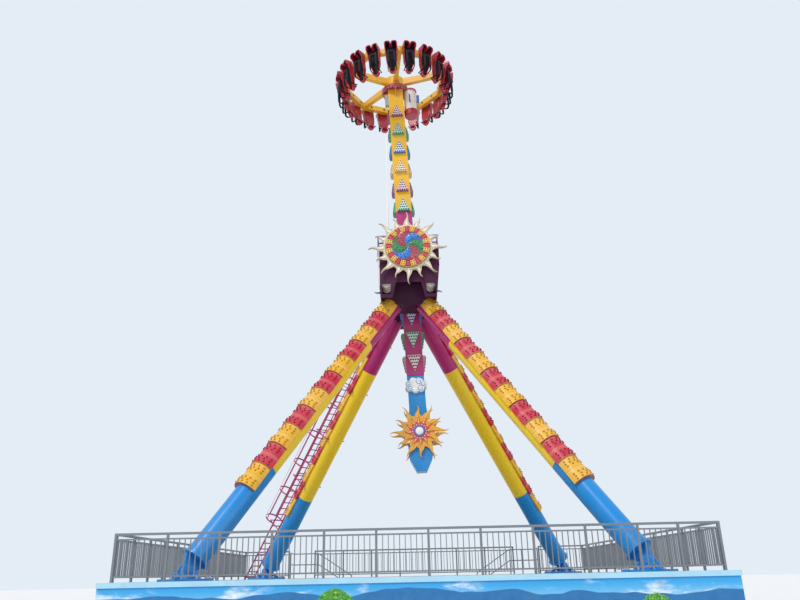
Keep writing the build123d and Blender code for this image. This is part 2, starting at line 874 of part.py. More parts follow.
# The swing is drawn upright about its axle and then leant over
swing_place = Location((0, 0, axle_height), (0, -swing_lean, 0))
arm_half = arm_size / 2

with BuildPart() as swing_shaft:
    with BuildSketch(Plane.XZ.offset(-shaft_half)):
        Circle(shaft_radius)
    extrude(amount=2 * shaft_half)

with BuildPart() as hub_arm:
    with BuildSketch(Plane.XY.offset(arm_bottom)):
        Rectangle(arm_size, arm_size)
    extrude(amount=arm_split - arm_bottom)
    chamfer(hub_arm.edges().filter_by(Axis.Z), length=arm_chamfer)
    with BuildSketch(Plane.XZ.offset(-hub_half)):
        Circle(hub_radius)
    extrude(amount=2 * hub_half)
    with BuildSketch(Plane.XZ.offset(-hub_half)):
        Circle(shaft_radius)
    extrude(amount=2 * hub_half, mode=Mode.SUBTRACT)

with BuildPart() as upper_arm:
    with BuildSketch(Plane.XY.offset(arm_split)):
        Rectangle(arm_size, arm_size)
    extrude(amount=arm_top - arm_split)
    chamfer(upper_arm.edges().filter_by(Axis.Z), length=arm_chamfer)
    # Gussets under the flange on the three faces that the spin drive leaves free
    for turn in (1, 2, 3):
        rib_plane = Plane.XZ.rotated((0, 0, 90 * turn))
        with BuildSketch(rib_plane):
            Polygon(
                (arm_half - weld_lap, arm_top),
                (arm_half + arm_rib_reach, arm_top),
                (arm_half + arm_rib_reach, arm_top - arm_rib_edge),
                (arm_half - weld_lap, arm_top - arm_rib_height),
                align=None,
            )
        extrude(amount=arm_rib_thickness / 2, both=True)

# Lamp boards: triangles that stand off the arm at their base and thin out to their tip
with BuildPart() as board:
    with BuildSketch(Plane.XZ):
        Polygon(
            (arm_half, 0),
            (arm_half + board_thick, 0),
            (arm_half + board_thin, board_height),
            (arm_half, board_height),
            align=None,
        )
    extrude(amount=board_width / 2, both=True)
    with BuildSketch(Plane.YZ):
        Polygon((-board_width / 2, 0), (board_width / 2, 0), (0, board_height), align=None)
    extrude(amount=arm_half + board_thick, mode=Mode.INTERSECT)

last_board = upper_board_count - 1
with BuildPart() as upper_lamp_boards:
    for i in range(last_board):
        with Locations((0, 0, arm_split + board_pitch * i)):
            with PolarLocations(0, 4):
                add(board.part)
    # The spin drive takes the last board's place on its own side
    with Locations((0, 0, arm_split + board_pitch * last_board)):
        with PolarLocations(0, 3, start_angle=90, angular_range=180, endpoint=True):
            add(board.part)

with BuildPart() as lower_lamp_boards:
    turned = mirror(board.part, about=Plane.XY, mode=Mode.PRIVATE)
    for i in range(lower_board_count):
        with Locations((0, 0, lower_board_start - board_pitch * i)):
            with PolarLocations(0, 4):
                add(turned)

# Counterweight: the arm's end, which widens into a keel-shaped block
with BuildPart() as counterweight:
    with BuildSketch(Plane.XZ.offset(-weight_half_depth)):
        half = arm_half - weight_step
        right = [
            (half, arm_bottom),
            (half, weight_waist),
            (weight_half_widest, weight_widest),
            (weight_half_widest * 0.9, weight_shoulder),
            (weight_half_widest * 0.4, weight_tip),
        ]
        left = [(-x, z) for x, z in reversed(right)]
        Polygon(*right, *left, align=None)
    extrude(amount=2 * weight_half_depth)
    chamfer(counterweight.faces().filter_by(Axis.Y).edges(), length=arm_chamfer)

# Cloud and crest ornaments on both faces of the counterweight
with BuildPart() as cloud_front:
    with BuildSketch(Plane.XZ.offset(weight_half_depth)):
        puff = cloud_height / 4
        middle = cloud_top - cloud_height / 2
        for x, z, r in (
            (-0.36, 0.1, 0.9),
            (-0.13, 0.45, 1.1),
            (0.14, 0.35, 1.2),
            (0.36, 0.0, 0.95),
            (0.2, -0.6, 1.0),
            (-0.05, -0.75, 0.95),
            (-0.28, -0.5, 0.9),
            (0.0, -0.1, 1.4),
        ):
            with Locations((x * cloud_width, middle + z * 2 * puff)):
                Circle(r * puff)
    extrude(amount=cloud_thickness)

crest_plane = Plane(origin=(0, -weight_half_depth, crest_centre), x_dir=(1, 0, 0), z_dir=(0, -1, 0))
crest_outline = flame_disc(crest_radius, crest_tip, crest_short_tip, flame_root, crest_flames)
rosette_outline = flame_disc(rosette_radius, rosette_tip, rosette_tip, rosette_radius * 0.6, crest_flames)
with BuildPart() as crest_front:
    with BuildSketch(crest_plane):
        add(crest_outline)
    extrude(amount=crest_thickness)
    with BuildSketch(crest_plane.offset(crest_thickness)):
        add(rosette_outline)
    extrude(amount=rosette_rise)
    with BuildSketch(crest_plane.offset(crest_thickness + rosette_rise)):
        Circle(rosette_boss_radius)
    extrude(amount=rosette_boss_rise, taper=30)

cloud_ornaments = front_and_back(cloud_front)
crest_ornaments = front_and_back(crest_front)

# Slewing flange with the lug of the spin drive and the spigot that centres the gondola
with BuildPart() as slew_flange:
    with BuildSketch(Plane.XY.offset(arm_top)):
        Circle(flange_radius)
    extrude(amount=flange_thickness)
    with BuildSketch(Plane.XY.offset(arm_top)):
        with Locations((spin_motor_x, 0)):
            Circle(spin_motor_radius + spin_lug_margin)
    extrude(amount=spin_lug_thickness)
    with BuildSketch(Plane.XY.offset(arm_top + flange_thickness)):
        Circle(spigot_radius)
    extrude(amount=spigot_height)

# Spin drive: the motor, the brake drum on its end and the terminal box on its outer side
terminal_x = spin_motor_x + spin_motor_radius * 0.9
with BuildPart() as spin_motor:
    with BuildSketch(Plane.XY.offset(arm_top - spin_motor_length)):
        with Locations((spin_motor_x, 0)):
            Circle(spin_motor_radius)
    extrude(amount=spin_motor_length)
    with BuildSketch(Plane.XY.offset(arm_top - spin_motor_length)):
        with Locations((spin_motor_x, 0)):
            Circle(brake_radius)
    extrude(amount=-brake_length)
    chamfer(spin_motor.edges().group_by(Axis.Z)[0], length=spin_motor_chamfer)
    with BuildSketch(Plane.XY.offset(arm_top - terminal_drop)):
        with Locations((terminal_x + terminal_depth / 2, 0)):
            Rectangle(terminal_depth, terminal_width)
    extrude(amount=terminal_height)

with BuildPart() as arm_cabinet:
    with BuildSketch(Plane.XY.offset(cabinet_rise)):
        with Locations((-arm_half - cabinet_depth / 2, cabinet_y)):
            Rectangle(cabinet_depth, cabinet_width)
    extrude(amount=cabinet_height)
    chamfer(arm_cabinet.edges().filter_by(Axis.Z).sort_by(Axis.X)[:2], length=cabinet_chamfer)

# Gondola: a hub drum on the slewing flange, five spokes and a ten-sided ring beam
hub_start = arm_top + flange_thickness + slew_gap
hub_end = hub_start + gondola_hub_height
collar_top = hub_start + hub_collar_height
ring_angle = spoke_angle - 90
ring_low = ring_rise - ring_height / 2

with BuildPart() as gondola_hub:
    with BuildSketch(Plane.XY.offset(hub_start)):
        Circle(gondola_hub_radius)
    extrude(amount=gondola_hub_height)
    with BuildSketch(Plane.XY.offset(hub_start)):
        Circle(hub_collar_radius)
    extrude(amount=hub_collar_height)
    for i in range(2 * spoke_count):
        rib_plane = Plane.XZ.rotated((0, 0, ring_angle + 180 / spoke_count * (i + 0.5)))
        with BuildSketch(rib_plane):
            Polygon(
                (gondola_hub_radius - weld_lap, collar_top),
                (gondola_hub_radius + hub_rib_reach, collar_top),
                (gondola_hub_radius - weld_lap, collar_top + hub_rib_height),
                align=None,
            )
        extrude(amount=hub_rib_thickness / 2, both=True)
    with BuildSketch(Plane.XY.offset(hub_start)):
        Circle(spigot_radius + running_clearance)
    extrude(amount=spigot_height + spigot_end_room, mode=Mode.SUBTRACT)

first_seat = ring_angle + 180 / seat_count


# How far the face of a seat back stands from the seat's upright, at a height
def seat_back(z):
    return -seat_recline * (seat_foot - z) / (seat_foot - seat_head)


with BuildPart() as bracket:
    with BuildSketch(Plane.XZ):
        Polygon(
            (seat_face - bracket_depth, ring_rise - bracket_height / 2),
            (seat_face + seat_back(-bracket_height / 2), ring_rise - bracket_height / 2),
            (seat_face + seat_back(bracket_height / 2), ring_rise + bracket_height / 2),
            (seat_face - bracket_depth, ring_rise + bracket_height / 2),
            align=None,
        )
    extrude(amount=bracket_width / 2, both=True)

with BuildPart() as ring_beam:
    with BuildSketch(Plane.XY.offset(ring_low)):
        RegularPolygon(ring_outer, ring_sides, major_radius=False, rotation=ring_angle)
        RegularPolygon(ring_inner, ring_sides, major_radius=False, rotation=ring_angle, mode=Mode.SUBTRACT)
    extrude(amount=ring_height)
    with PolarLocations(0, seat_count, start_angle=first_seat):
        add(bracket.part)

with BuildPart() as spoke:
    with BuildSketch(Plane.XZ):
        Polygon(
            (gondola_hub_radius * 0.9, hub_end - spoke_root_drop - spoke_root_height),
            (ring_outer, ring_low + spoke_inset),
            (ring_outer, ring_low + ring_height - spoke_inset),
            (gondola_hub_radius * 0.9, hub_end - spoke_root_drop),
            align=None,
        )
    extrude(amount=spoke_width / 2, both=True)

with BuildPart() as spokes:
    with PolarLocations(0, spoke_count, start_angle=ring_angle):
        add(spoke.part)
    add(ring_beam.part, mode=Mode.SUBTRACT)
    add(gondola_hub.part, mode=Mode.SUBTRACT)

# Seats: a bucket with two leg recesses, whose back leans in towards the arm at the head, drawn where its
# own X runs outward from the ring and then set round the ring
seat_side = Plane.XZ
seat_front = Plane.YZ
head_radius = seat_lobe_radius
past_end = 100.0


# The seat's outline from the front, drawn smaller by an inset, with its neck at a given height
def seat_outline(inset, neck):
    lobe_x = seat_half_width - seat_lobe_radius
    with BuildSketch(seat_front) as outline:
        Polygon(
            (-seat_half_width + inset, seat_lobe_rise - inset),
            (seat_half_width - inset, seat_lobe_rise - inset),
            (seat_shoulder_half - inset, seat_shoulder),
            (seat_neck_half - inset, neck),
            (-seat_neck_half + inset, neck),
            (-seat_shoulder_half + inset, seat_shoulder),
            align=None,
        )
        with Locations((lobe_x, seat_lobe_rise), (-lobe_x, seat_lobe_rise)):
            Circle(seat_lobe_radius - inset)
        with Locations((0, seat_head + head_radius)):
            Circle(head_radius - inset)
    return outline.sketch


with BuildPart() as seat_hollow:
    with BuildSketch(seat_side):
        Polygon(
            (seat_back(seat_foot - seat_floor) + seat_floor, seat_foot - seat_floor),
            (seat_back(seat_head - past_end) + seat_floor, seat_head - past_end),
            (seat_reach + past_end, seat_head - past_end),
            (seat_reach + past_end, seat_foot - seat_floor),
            align=None,
        )
    extrude(amount=seat_half_width, both=True)
    hollow_outline = seat_outline(seat_wall, seat_neck - seat_wall)
    extrude(hollow_outline, amount=seat_reach + past_end, both=True, mode=Mode.INTERSECT)

with BuildPart() as seat_shell:
    with BuildSketch(seat_side):
        Polygon(
            (0, seat_foot),
            (seat_back(seat_head - 10), seat_head - 10),
            (seat_back(seat_head) + 120, seat_head - 10),
            (seat_reach * 0.03, -850),
            (seat_reach * 0.6, -150),
            (seat_reach, -60),
            (seat_reach, seat_foot),
            align=None,
        )
    extrude(amount=seat_half_width + past_end, both=True)
    extrude(seat_outline(0, seat_neck), amount=seat_reach + past_end, both=True, mode=Mode.INTERSECT)
    # The back is rounded along its sides, clear of the neck and of the notch between the lobes
    back_face = seat_shell.faces().filter_by(lambda face: face.normal_at().X < -0.9)[0]
    lobe_middle = seat_half_width - seat_lobe_radius
    side_edges = back_face.edges().filter_by(lambda edge: abs(edge.center().Y) > lobe_middle * 0.9)
    fillet(side_edges, radius=seat_edge_radius)
    add(seat_hollow.part, mode=Mode.SUBTRACT)
    with BuildSketch(seat_side):
        Polygon(
            (harness_pin_x - lug_reach, harness_pin_z - lug_half_height),
            (seat_back(harness_pin_z) + seat_floor / 2, harness_pin_z - lug_half_height),
            (seat_back(harness_pin_z) + seat_floor / 2, harness_pin_z + lug_half_height),
            (harness_pin_x - lug_reach, harness_pin_z + lug_half_height),
            align=None,
        )
    extrude(amount=lug_half_width, both=True)
    with BuildSketch(seat_side):
        with Locations((harness_pin_x, harness_pin_z)):
            Circle(harness_pin_radius + running_clearance)
    extrude(amount=seat_half_width, both=True, mode=Mode.SUBTRACT)

# Cushion: one padded strip down the back and over each leg recess
cushion_floor = seat_foot - seat_floor
cushion_face = seat_floor + cushion_thickness
with BuildPart() as cushion:
    with BuildSketch(seat_side):
        Polygon(
            (seat_back(cushion_floor) + seat_floor, cushion_floor),
            (seat_back(seat_head) + seat_floor, seat_head),
            (seat_back(seat_head) + cushion_face, seat_head),
            (seat_back(0) + cushion_face, cushion_floor - cushion_thickness),
            (seat_reach - cushion_setback, cushion_floor - cushion_thickness),
            (seat_reach - cushion_setback, cushion_floor),
            align=None,
        )
    extrude(amount=seat_half_width, both=True)
    cushion_outline = seat_outline(seat_wall + cushion_gap, seat_neck - seat_wall)
    extrude(cushion_outline, amount=seat_reach + past_end, both=True, mode=Mode.INTERSECT)

with BuildPart() as seat_shells:
    with PolarLocations(seat_face, seat_count, start_angle=first_seat):
        with Locations((0, 0, ring_rise)):
            add(seat_shell.part)

with BuildPart() as seat_cushions:
    with PolarLocations(seat_face, seat_count, start_angle=first_seat):
        with Locations((0, 0, ring_rise)):
            add(cushion.part)

# Shoulder restraint: two side arms from a pin behind the head, down to a chest frame
with BuildPart() as harness:
    with BuildSketch(seat_side):
        Polygon(
            (harness_back, harness_high),
            (harness_inner - 45, harness_high),
            (harness_outer - 10, -920),
            (harness_outer, harness_foot),
            (harness_inner, harness_foot),
            (harness_inner, -880),
            (harness_inner - 75, harness_low),
            (harness_back, harness_low),
            align=None,
        )
    extrude(amount=harness_half_width, both=True)
    with BuildSketch(seat_front):
        slot_half = harness_half_width - harness_arm_width
        Polygon(
            (slot_half, harness_high - past_end),
            (slot_half, -905),
            (harness_slot_half, -850),
            (harness_slot_half, -400),
            (-harness_slot_half, -400),
            (-harness_slot_half, -850),
            (-slot_half, -905),
            (-slot_half, harness_high - past_end),
            align=None,
        )
    extrude(amount=seat_reach, both=True, mode=Mode.SUBTRACT)
    with BuildSketch(seat_side):
        with Locations((harness_pin_x, harness_pin_z)):
            Circle(harness_pin_radius)
    extrude(amount=harness_half_width, both=True)

# Each finished piece is labelled and written, the platform's and the tower's where they were drawn
standing_pieces = {
    "platform": platform,
    "coping": coping,
    "fence_front": fence_front,
    "fence_back": fence_back,
    "fence_left": fence_left,
    "fence_right": fence_right,
    "stairs": stairs,
    "stair_guards": stair_guards,
    "leg_front_left": leg_front_left,
    "leg_front_right": leg,
    "leg_back_left": leg_back_left,
    "leg_back_right": leg_back_right,
    "leg_feet": leg_feet,
    "leg_cladding": leg_cladding,
    "tower_heads": tower_heads,
    "bearing_housings": bearing_housings,
    "head_cowls": head_cowls,
    "balcony_rails": balcony_rails,
    "swing_drives": swing_drives,
    "lightning_rod": lightning_rod,
    "sun_plates": sun_plates,
    "sun_discs": sun_discs,
    "ladder": ladder,
    "ladder_cage": ladder_cage,
}
for name, piece in standing_pieces.items():
    piece.part.label = name
    export_step(piece.part, f"parts/{name}.step")

# The swing's and the gondola's pieces are leant over as they are written
leaning_pieces = {
    "swing_shaft": swing_shaft.part,
    "hub_arm": hub_arm.part,
    "upper_arm": upper_arm.part,
    "counterweight": counterweight.part,
    "upper_lamp_boards": upper_lamp_boards.part,
    "lower_lamp_boards": lower_lamp_boards.part,
    "cloud_ornaments": cloud_ornaments.part,
    "crest_ornaments": crest_ornaments.part,
    "slew_flange": slew_flange.part,
    "spin_motor": spin_motor.part,
    "arm_cabinet": arm_cabinet.part,
    "gondola_hub": gondola_hub.part,
    "ring_beam": ring_beam.part,
    "spokes": spokes.part,
    "seat_shells": seat_shells.part,
    "seat_cushions": seat_cushions.part,
}
for i in range(seat_count):
    turn = Location((0, 0, 0), (0, 0, first_seat + 360 / seat_count * i))
    leaning_pieces[f"harness_{i + 1:02d}"] = harness.part.moved(turn * Location((seat_face, 0, ring_rise)))
for name, shape in leaning_pieces.items():
    placed = shape.moved(swing_place)
    placed.label = name
    export_step(placed, f"parts/{name}.step")
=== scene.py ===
import math

import bmesh
import bpy
from mathutils import Matrix, Vector


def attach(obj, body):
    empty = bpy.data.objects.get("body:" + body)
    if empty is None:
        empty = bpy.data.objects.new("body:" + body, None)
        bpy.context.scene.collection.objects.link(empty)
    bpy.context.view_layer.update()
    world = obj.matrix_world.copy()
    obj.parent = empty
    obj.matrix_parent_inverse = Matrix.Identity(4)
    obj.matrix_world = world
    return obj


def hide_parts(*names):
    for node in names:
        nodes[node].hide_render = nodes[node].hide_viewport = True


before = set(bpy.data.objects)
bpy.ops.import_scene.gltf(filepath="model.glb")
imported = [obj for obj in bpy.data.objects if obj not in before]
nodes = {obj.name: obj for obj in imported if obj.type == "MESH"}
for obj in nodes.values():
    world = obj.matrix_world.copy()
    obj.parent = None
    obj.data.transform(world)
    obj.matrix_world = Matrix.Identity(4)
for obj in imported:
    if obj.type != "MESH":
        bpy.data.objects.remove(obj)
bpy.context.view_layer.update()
print("frame loaded,", len(nodes), "nodes")

# the ride's main sizes, in metres, as the part has them
ride = {
    "deck": 1.3,
    "axle": 13.13,
    "lean": math.radians(2.4),
    "foot": Vector((6.28, -5.95, 1.9)),
    "apex": Vector((0.24, -0.65, 11.9)),
    "legRadius": 0.36,
    "armHalf": 0.335,
    "armTop": 8.87,
    "boardPitch": 0.95,
    "crest": -6.73,
    "ringRise": 9.475,
    "firstSeat": math.radians(6.4 - 90 + 9),
    "seats": 20,
    "seatFace": 2.385,
}
cladding = {"low": 2.4375, "pitch": 0.86305, "shells": 11}  # along a leg, from its foot
upright = Matrix.Translation((0, 0, ride["axle"])) @ Matrix.Rotation(-ride["lean"], 4, "Y")
bothFaces = (Matrix.Identity(4), Matrix.Rotation(math.pi, 4, "Z"))
armUp = (-math.sin(ride["lean"]), 0, math.cos(ride["lean"]))
armSide = (math.cos(ride["lean"]), 0, math.sin(ride["lean"]))
fourLegs = [Matrix.Diagonal((x, y, 1, 1)) for y in (1, -1) for x in (1, -1)]


def frameOf(origin, xWay, zWay):
    # a place whose X and Z run those ways
    z = Vector(zWay).normalized()
    x = Vector(xWay).normalized()
    turned = Matrix((x, z.cross(x), z)).transposed().to_4x4()
    turned.translation = origin
    return turned


def around(angle):
    return Vector((math.cos(angle), math.sin(angle), 0))


def spun(angle):
    return Matrix.Rotation(angle, 4, "Z")


legWay = (ride["apex"] - ride["foot"]).normalized()
legSide = Vector((0, 0, 1)).cross(legWay).normalized()
legPlace = frameOf(ride["foot"], legWay.cross(legSide), legWay)


def tint(code, light=1.0):
    # a colour as it is written on a paint chart, made linear
    values = []
    for i in (0, 2, 4):
        v = int(code[i:i + 2], 16) / 255
        v = v / 12.92 if v <= 0.04045 else ((v + 0.055) / 1.055) ** 2.4
        values.append(v * light)
    return (*values, 1.0)


class Signal:
    # wraps a socket, so that shader maths reads as plain sums
    def __init__(self, owner, socket):
        self.owner = owner
        self.socket = socket

    def maths(self, operation, first, second):
        return self.owner.node("Math", {"operation": operation}, {0: first, 1: second})

    def between(self, low, high):
        # 0 below low, 1 above high, even between
        sockets = {0: self, 1: low, 2: high, 3: 0.0, 4: 1.0}
        return self.owner.node("MapRange", {"interpolation_type": "SMOOTHSTEP"}, sockets)


def plainSum(operation):
    return lambda self, other=0.0: self.maths(operation, self, other)


def turnedSum(operation):
    return lambda self, other: self.maths(operation, other, self)


for name, operation in {
    "__add__": "ADD", "__sub__": "SUBTRACT", "__mul__": "MULTIPLY", "__truediv__": "DIVIDE",
    "__mod__": "FLOORED_MODULO", "__abs__": "ABSOLUTE", "above": "GREATER_THAN", "below": "LESS_THAN",
    "floor": "FLOOR", "root": "SQRT", "arccosine": "ARCCOSINE", "atan2": "ARCTAN2", "least": "MINIMUM",
    "most": "MAXIMUM",
}.items():
    setattr(Signal, name, plainSum(operation))
for name, operation in {"__radd__": "ADD", "__rsub__": "SUBTRACT", "__rmul__": "MULTIPLY"}.items():
    setattr(Signal, name, turnedSum(operation))


class Nodes:
    # makes and links the nodes of one tree
    def __init__(self, tree):
        self.tree = tree

    def feed(self, socket, value):
        # a signal is linked, a colour's code is made linear, and anything else is set as it is
        if isinstance(value, Signal):
            self.tree.links.new(value.socket, socket)
        else:
            socket.default_value = tint(value) if isinstance(value, str) else value

    def node(self, kind, settings=None, sockets=None, out=0):
        made = self.tree.nodes.new("ShaderNode" + kind)
        for key, value in (settings or {}).items():
            setattr(made, key, value)
        for key, value in (sockets or {}).items():
            self.feed(made.inputs[key], value)
        return Signal(self, made.outputs[out])

    def mix(self, factor, first, second, how="MIX"):
        return self.node("Mix", {"data_type": "RGBA", "blend_type": how}, {0: factor, 6: first, 7: second}, 2)


class Finish(Nodes):
    def __init__(self, name, metallic=0.0, coat=0.0, gleam=0.5):
        self.material = bpy.data.materials.new(name)
        self.material.use_nodes = True
        super().__init__(self.material.node_tree)
        self.shader = self.tree.nodes["Principled BSDF"]
        self.plug({"Metallic": metallic, "Coat Weight": coat, "Coat Roughness": 0.1, "Specular IOR Level": gleam})
        self.spot = self.node("TexCoord", out="Object")

    def plug(self, ends):
        for socket, value in ends.items():
            self.feed(self.shader.inputs[socket], value)

    def axes(self):
        # x, y and z of the spot on the object
        return [self.node("SeparateXYZ", sockets={0: self.spot}, out=axis) for axis in "XYZ"]

    def vector(self, operation, first, second, out=0):
        return self.node("VectorMath", {"operation": operation}, {0: first, 1: second}, out)

    def dot(self, first, second):
        return self.vector("DOT_PRODUCT", first, second, 1)

    def along(self, way):
        # how far from the axle the spot lies along a line
        return self.dot(self.vector("SUBTRACT", self.spot, (0, 0, ride["axle"])), way)

    def stretched(self, *factors):
        return self.vector("MULTIPLY", self.spot, factors)

    def joined(self, x, y, z):
        return self.node("CombineXYZ", sockets={0: x, 1: y, 2: z})

    def grain(self, scale, detail=3.0, rough=0.55, at=None):
        sockets = {"Vector": at or self.spot, "Scale": scale, "Detail": detail, "Roughness": rough}
        return self.node("TexNoise", sockets=sockets)

    def cells(self, scale, at=None, feature="F1"):
        sockets = {"Vector": at or self.spot, "Scale": scale, "Randomness": 1.0}
        return self.node("TexVoronoi", {"feature": feature}, sockets)

    def bricks(self, across, up, size, joint, shift, colours):
        first, second, mortar = colours
        return self.node("TexBrick", {"offset": shift}, {
            "Vector": self.joined(across, up, 0.0), "Color1": first, "Color2": second, "Mortar": mortar,
            "Scale": 1.0, "Mortar Size": joint, "Brick Width": size[0], "Row Height": size[1],
        })

    def ramp(self, factor, stops, how="LINEAR"):
        made = self.node("ValToRGB", sockets={0: factor})
        ramp = made.socket.node.color_ramp
        ramp.interpolation = how
        while len(ramp.elements) < len(stops):
            ramp.elements.new(1.0)
        for element, (place, colour) in zip(ramp.elements, stops):
            element.position = place
            element.color = tint(colour) if isinstance(colour, str) else colour
        return made

    def layered(self, base, *layers):
        # colours laid over the base in turn, each as far as its factor says
        for factor, colour in layers:
            base = self.mix(factor, base, colour)
        return base

    def cover(self, colour, roughness, height=None, distance=0.0, strength=0.0):
        # the last step: everything goes into the shader, with a bump where there is a height
        self.plug({"Base Color": colour, "Roughness": roughness})
        if height:
            sockets = {"Strength": strength, "Distance": distance, "Height": height}
            self.plug({"Normal": self.node("Bump", sockets=sockets)})
        return self


def weather(finish, colour, rough, fade=0.12, grime=0.18, dirt="5c5348", bumpy=0.006):
    # large pale and dark areas, rain streaks down the surface, fine dust, and the paint's own ripple;
    # rough holds the plain roughness, then what dust and streaks add
    broad = finish.grain(0.55, 4.0)
    streaks = finish.grain(1.0, 5.0, 0.6, finish.stretched(5.0, 5.0, 0.45))
    dust = finish.grain(34.0, 4.0, 0.7)
    worn = finish.layered(
        colour, (broad.between(0.35, 0.7) * fade, finish.mix(0.5, colour, (1, 1, 1, 1))),
        (streaks.between(0.56, 0.82) * grime, dirt), (dust.between(0.62, 0.8) * grime * 0.6, dirt),
    )
    dull = rough[0] + rough[1] * dust.between(0.4, 0.8)
    if len(rough) == 3:
        dull = dull + rough[2] * streaks.between(0.5, 0.8)
    return finish.cover(worn, dull, finish.grain(9.0, 2.0) * 0.7 + dust * 0.3, bumpy, 0.35)


def gloss(name, colour, roughness=0.3, coat=0.35, grime=0.16, gleam=0.5):
    return weather(Finish(name, coat=coat, gleam=gleam), colour, (roughness, 0.18, 0.12), grime=grime)


def metal(name, colour, roughness, brushed=(1, 1, 1), grime=0.12):
    finish = Finish(name, metallic=1.0)
    brush = finish.grain(60.0, 2.0, 0.6, finish.stretched(*brushed))
    patch = finish.grain(2.2, 4.0)
    worn = finish.layered(
        colour, (patch.between(0.3, 0.75) * 0.35, tint(colour, 0.72)), (patch.between(0.6, 0.85) * grime, "6b6253")
    )
    return finish.cover(worn, roughness + 0.16 * brush + 0.12 * patch, brush, 0.0015, 0.25)


palette = {
    "magenta": "b0146c",
    "plum": "4a0e3b",
    "yellow": "ebb626",
    "legYellow": "f3cf1f",
    "blue": "0a86d2",
    "crimson": "a8203f",
    "motorWhite": "e8e6e1",
}

print("finishes")
yellowPaint = gloss("yellowPaint", palette["yellow"], gleam=0.3)
magentaPaint = gloss("magentaPaint", palette["magenta"], gleam=0.3)
bluePaint = gloss("bluePaint", palette["blue"], coat=0.12, gleam=0.3)
crimsonPaint = gloss("crimsonPaint", palette["crimson"], roughness=0.34, gleam=0.3)
motorPaint = gloss("motorPaint", palette["motorWhite"], roughness=0.36)
lilacPaint = gloss("lilacPaint", "8f5fb0")
greyPaint = gloss("greyPaint", "9aa1a8", roughness=0.45, coat=0.0)
# painted shade for the insides of the ring beam's ports
portShadePaint = gloss("portShadePaint", "221d26", roughness=0.6, coat=0.0)
whitePaint = gloss("whitePaint", "eceae6", roughness=0.4, grime=0.22)
cloudPaint = gloss("cloudPaint", "eef0f2", roughness=0.34, grime=0.14)
curlPaint = gloss("curlPaint", "2f8fd0", roughness=0.32)
stainless = metal("stainless", "8d9095", 0.3, (1, 1, 0.04))
galvanised = metal("galvanised", "b9bec2", 0.42, grime=0.2)
machined = metal("machined", "8f9398", 0.24, (1, 0.05, 1))


def cowlFinish():
    # dark plum, with painted shade making it darker below, with its left edge at the front painted white
    look = {"edgeFrom": 1.1, "edgeDepth": 2.05, "dark": (10.9, 12.9), "deep": "280a22", "white": "e9e6ea"}
    finish = Finish("cowlPaint", gleam=0.22)
    x, y, z = finish.axes()
    left = (x * (1.0 - y.above(0.0) * 2.0)).below(-look["edgeFrom"]) * abs(y).above(look["edgeDepth"])
    # painted shade: below the band the plum is mixed halfway to a deeper plum
    shade = (1.0 - z.between(*look["dark"])) * 0.5
    colour = finish.layered(palette["plum"], (shade, look["deep"]), (left, look["white"]))
    return weather(finish, colour, (0.5, 0.2), 0.03, 0.3, "2a1226")


def spinMotorFinish():
    # white motor with a blue plate on its front, crimson brake drum, blue terminal box
    look = {
        "plateAt": 0.625, "plateHalf": 0.032, "plate": (8.16, 8.62), "drumEnd": 7.86, "boxFrom": 0.932,
        "blue": "1f62b4", "seam": "6d7076",
    }
    finish = Finish("spinMotorPaint", coat=0.3)
    y = finish.axes()[1]
    out, side = finish.along(armUp), finish.along(armSide)
    plate = abs(side - look["plateAt"]).below(look["plateHalf"]) * out.above(look["plate"][0])
    plate = plate * out.below(look["plate"][1]) * y.below(0.0)
    seams = abs((out * 4.0) % 1.0 - 0.5).above(0.485) * out.above(look["drumEnd"] + 0.1)
    colour = finish.layered(
        palette["motorWhite"], (plate.most(side.above(look["boxFrom"])), look["blue"]),
        (out.below(look["drumEnd"]), palette["crimson"]), (seams * 0.5, look["seam"]),
    )
    return weather(finish, colour, (0.34, 0.2), 0.08, 0.2)


def crestFinish():
    # orange flames, a red ring of flames over them and a blue boss, by how far each stands off the arm
    look = {"outerTop": 0.4102, "ringTop": 0.4452, "orange": "eba531", "red": "c42a3f", "blue": "2467bd"}
    finish = Finish("crestPaint", coat=0.3)
    depth = abs(finish.axes()[1])
    red, blue = ((depth.above(look[top]), look[name]) for top, name in (("outerTop", "red"), ("ringTop", "blue")))
    return weather(finish, finish.layered(look["orange"], red, blue), (0.32, 0.2), 0.12, 0.2)


def upLeg(finish):
    # how far the spot lies up a leg's own line, the same on all four
    x, y, z = finish.axes()
    foot = ride["foot"]
    return (abs(x) - foot.x) * legWay.x + (abs(y) + foot.y) * -legWay.y + (z - foot.z) * legWay.z


def legFinish():
    # blue foot, yellow shank and magenta head, with hard paint lines across the tube
    look = {"blueEnd": 3.438, "yellowEnd": 9.647}
    finish = Finish("legPaint", coat=0.1, gleam=0.3)
    up = upLeg(finish)
    colour = finish.layered(
        palette["blue"], (up.above(look["blueEnd"]), palette["legYellow"]),
        (up.above(look["yellowEnd"]), palette["magenta"]),
    )
    return weather(finish, colour, (0.3, 0.14), 0.06, 0.05, bumpy=0.002)


def shellCount(finish):
    # which shell of the cladding a spot lies on, and whether it is a red one
    count = (upLeg(finish) - cladding["low"]) / cladding["pitch"]
    return count, (count.floor() % 2.0).above(0.5)


def claddingFinish():
    # yellow and red shells in turn, each of two panels, dulled at the joints and paler towards their upper ends
    look = {"panels": 2, "joint": 0.045, "yellow": "e2ad2c", "red": "c4223f", "dull": "5a3a26", "pale": "fff2c8"}
    finish = Finish("claddingPlastic", gleam=0.25)
    count, red = shellCount(finish)
    step = (count * look["panels"]) % 1.0
    groove = 1.0 - step.between(0.0, look["joint"]) * (1.0 - step.between(1.0 - look["joint"], 1.0))
    colour = finish.layered(
        look["yellow"], (red, look["red"]), (groove * 0.4, look["dull"]), (step.between(0.5, 1.0) * 0.1, look["pale"])
    )
    return weather(finish, colour, (0.36, 0.22), 0.1, 0.2)


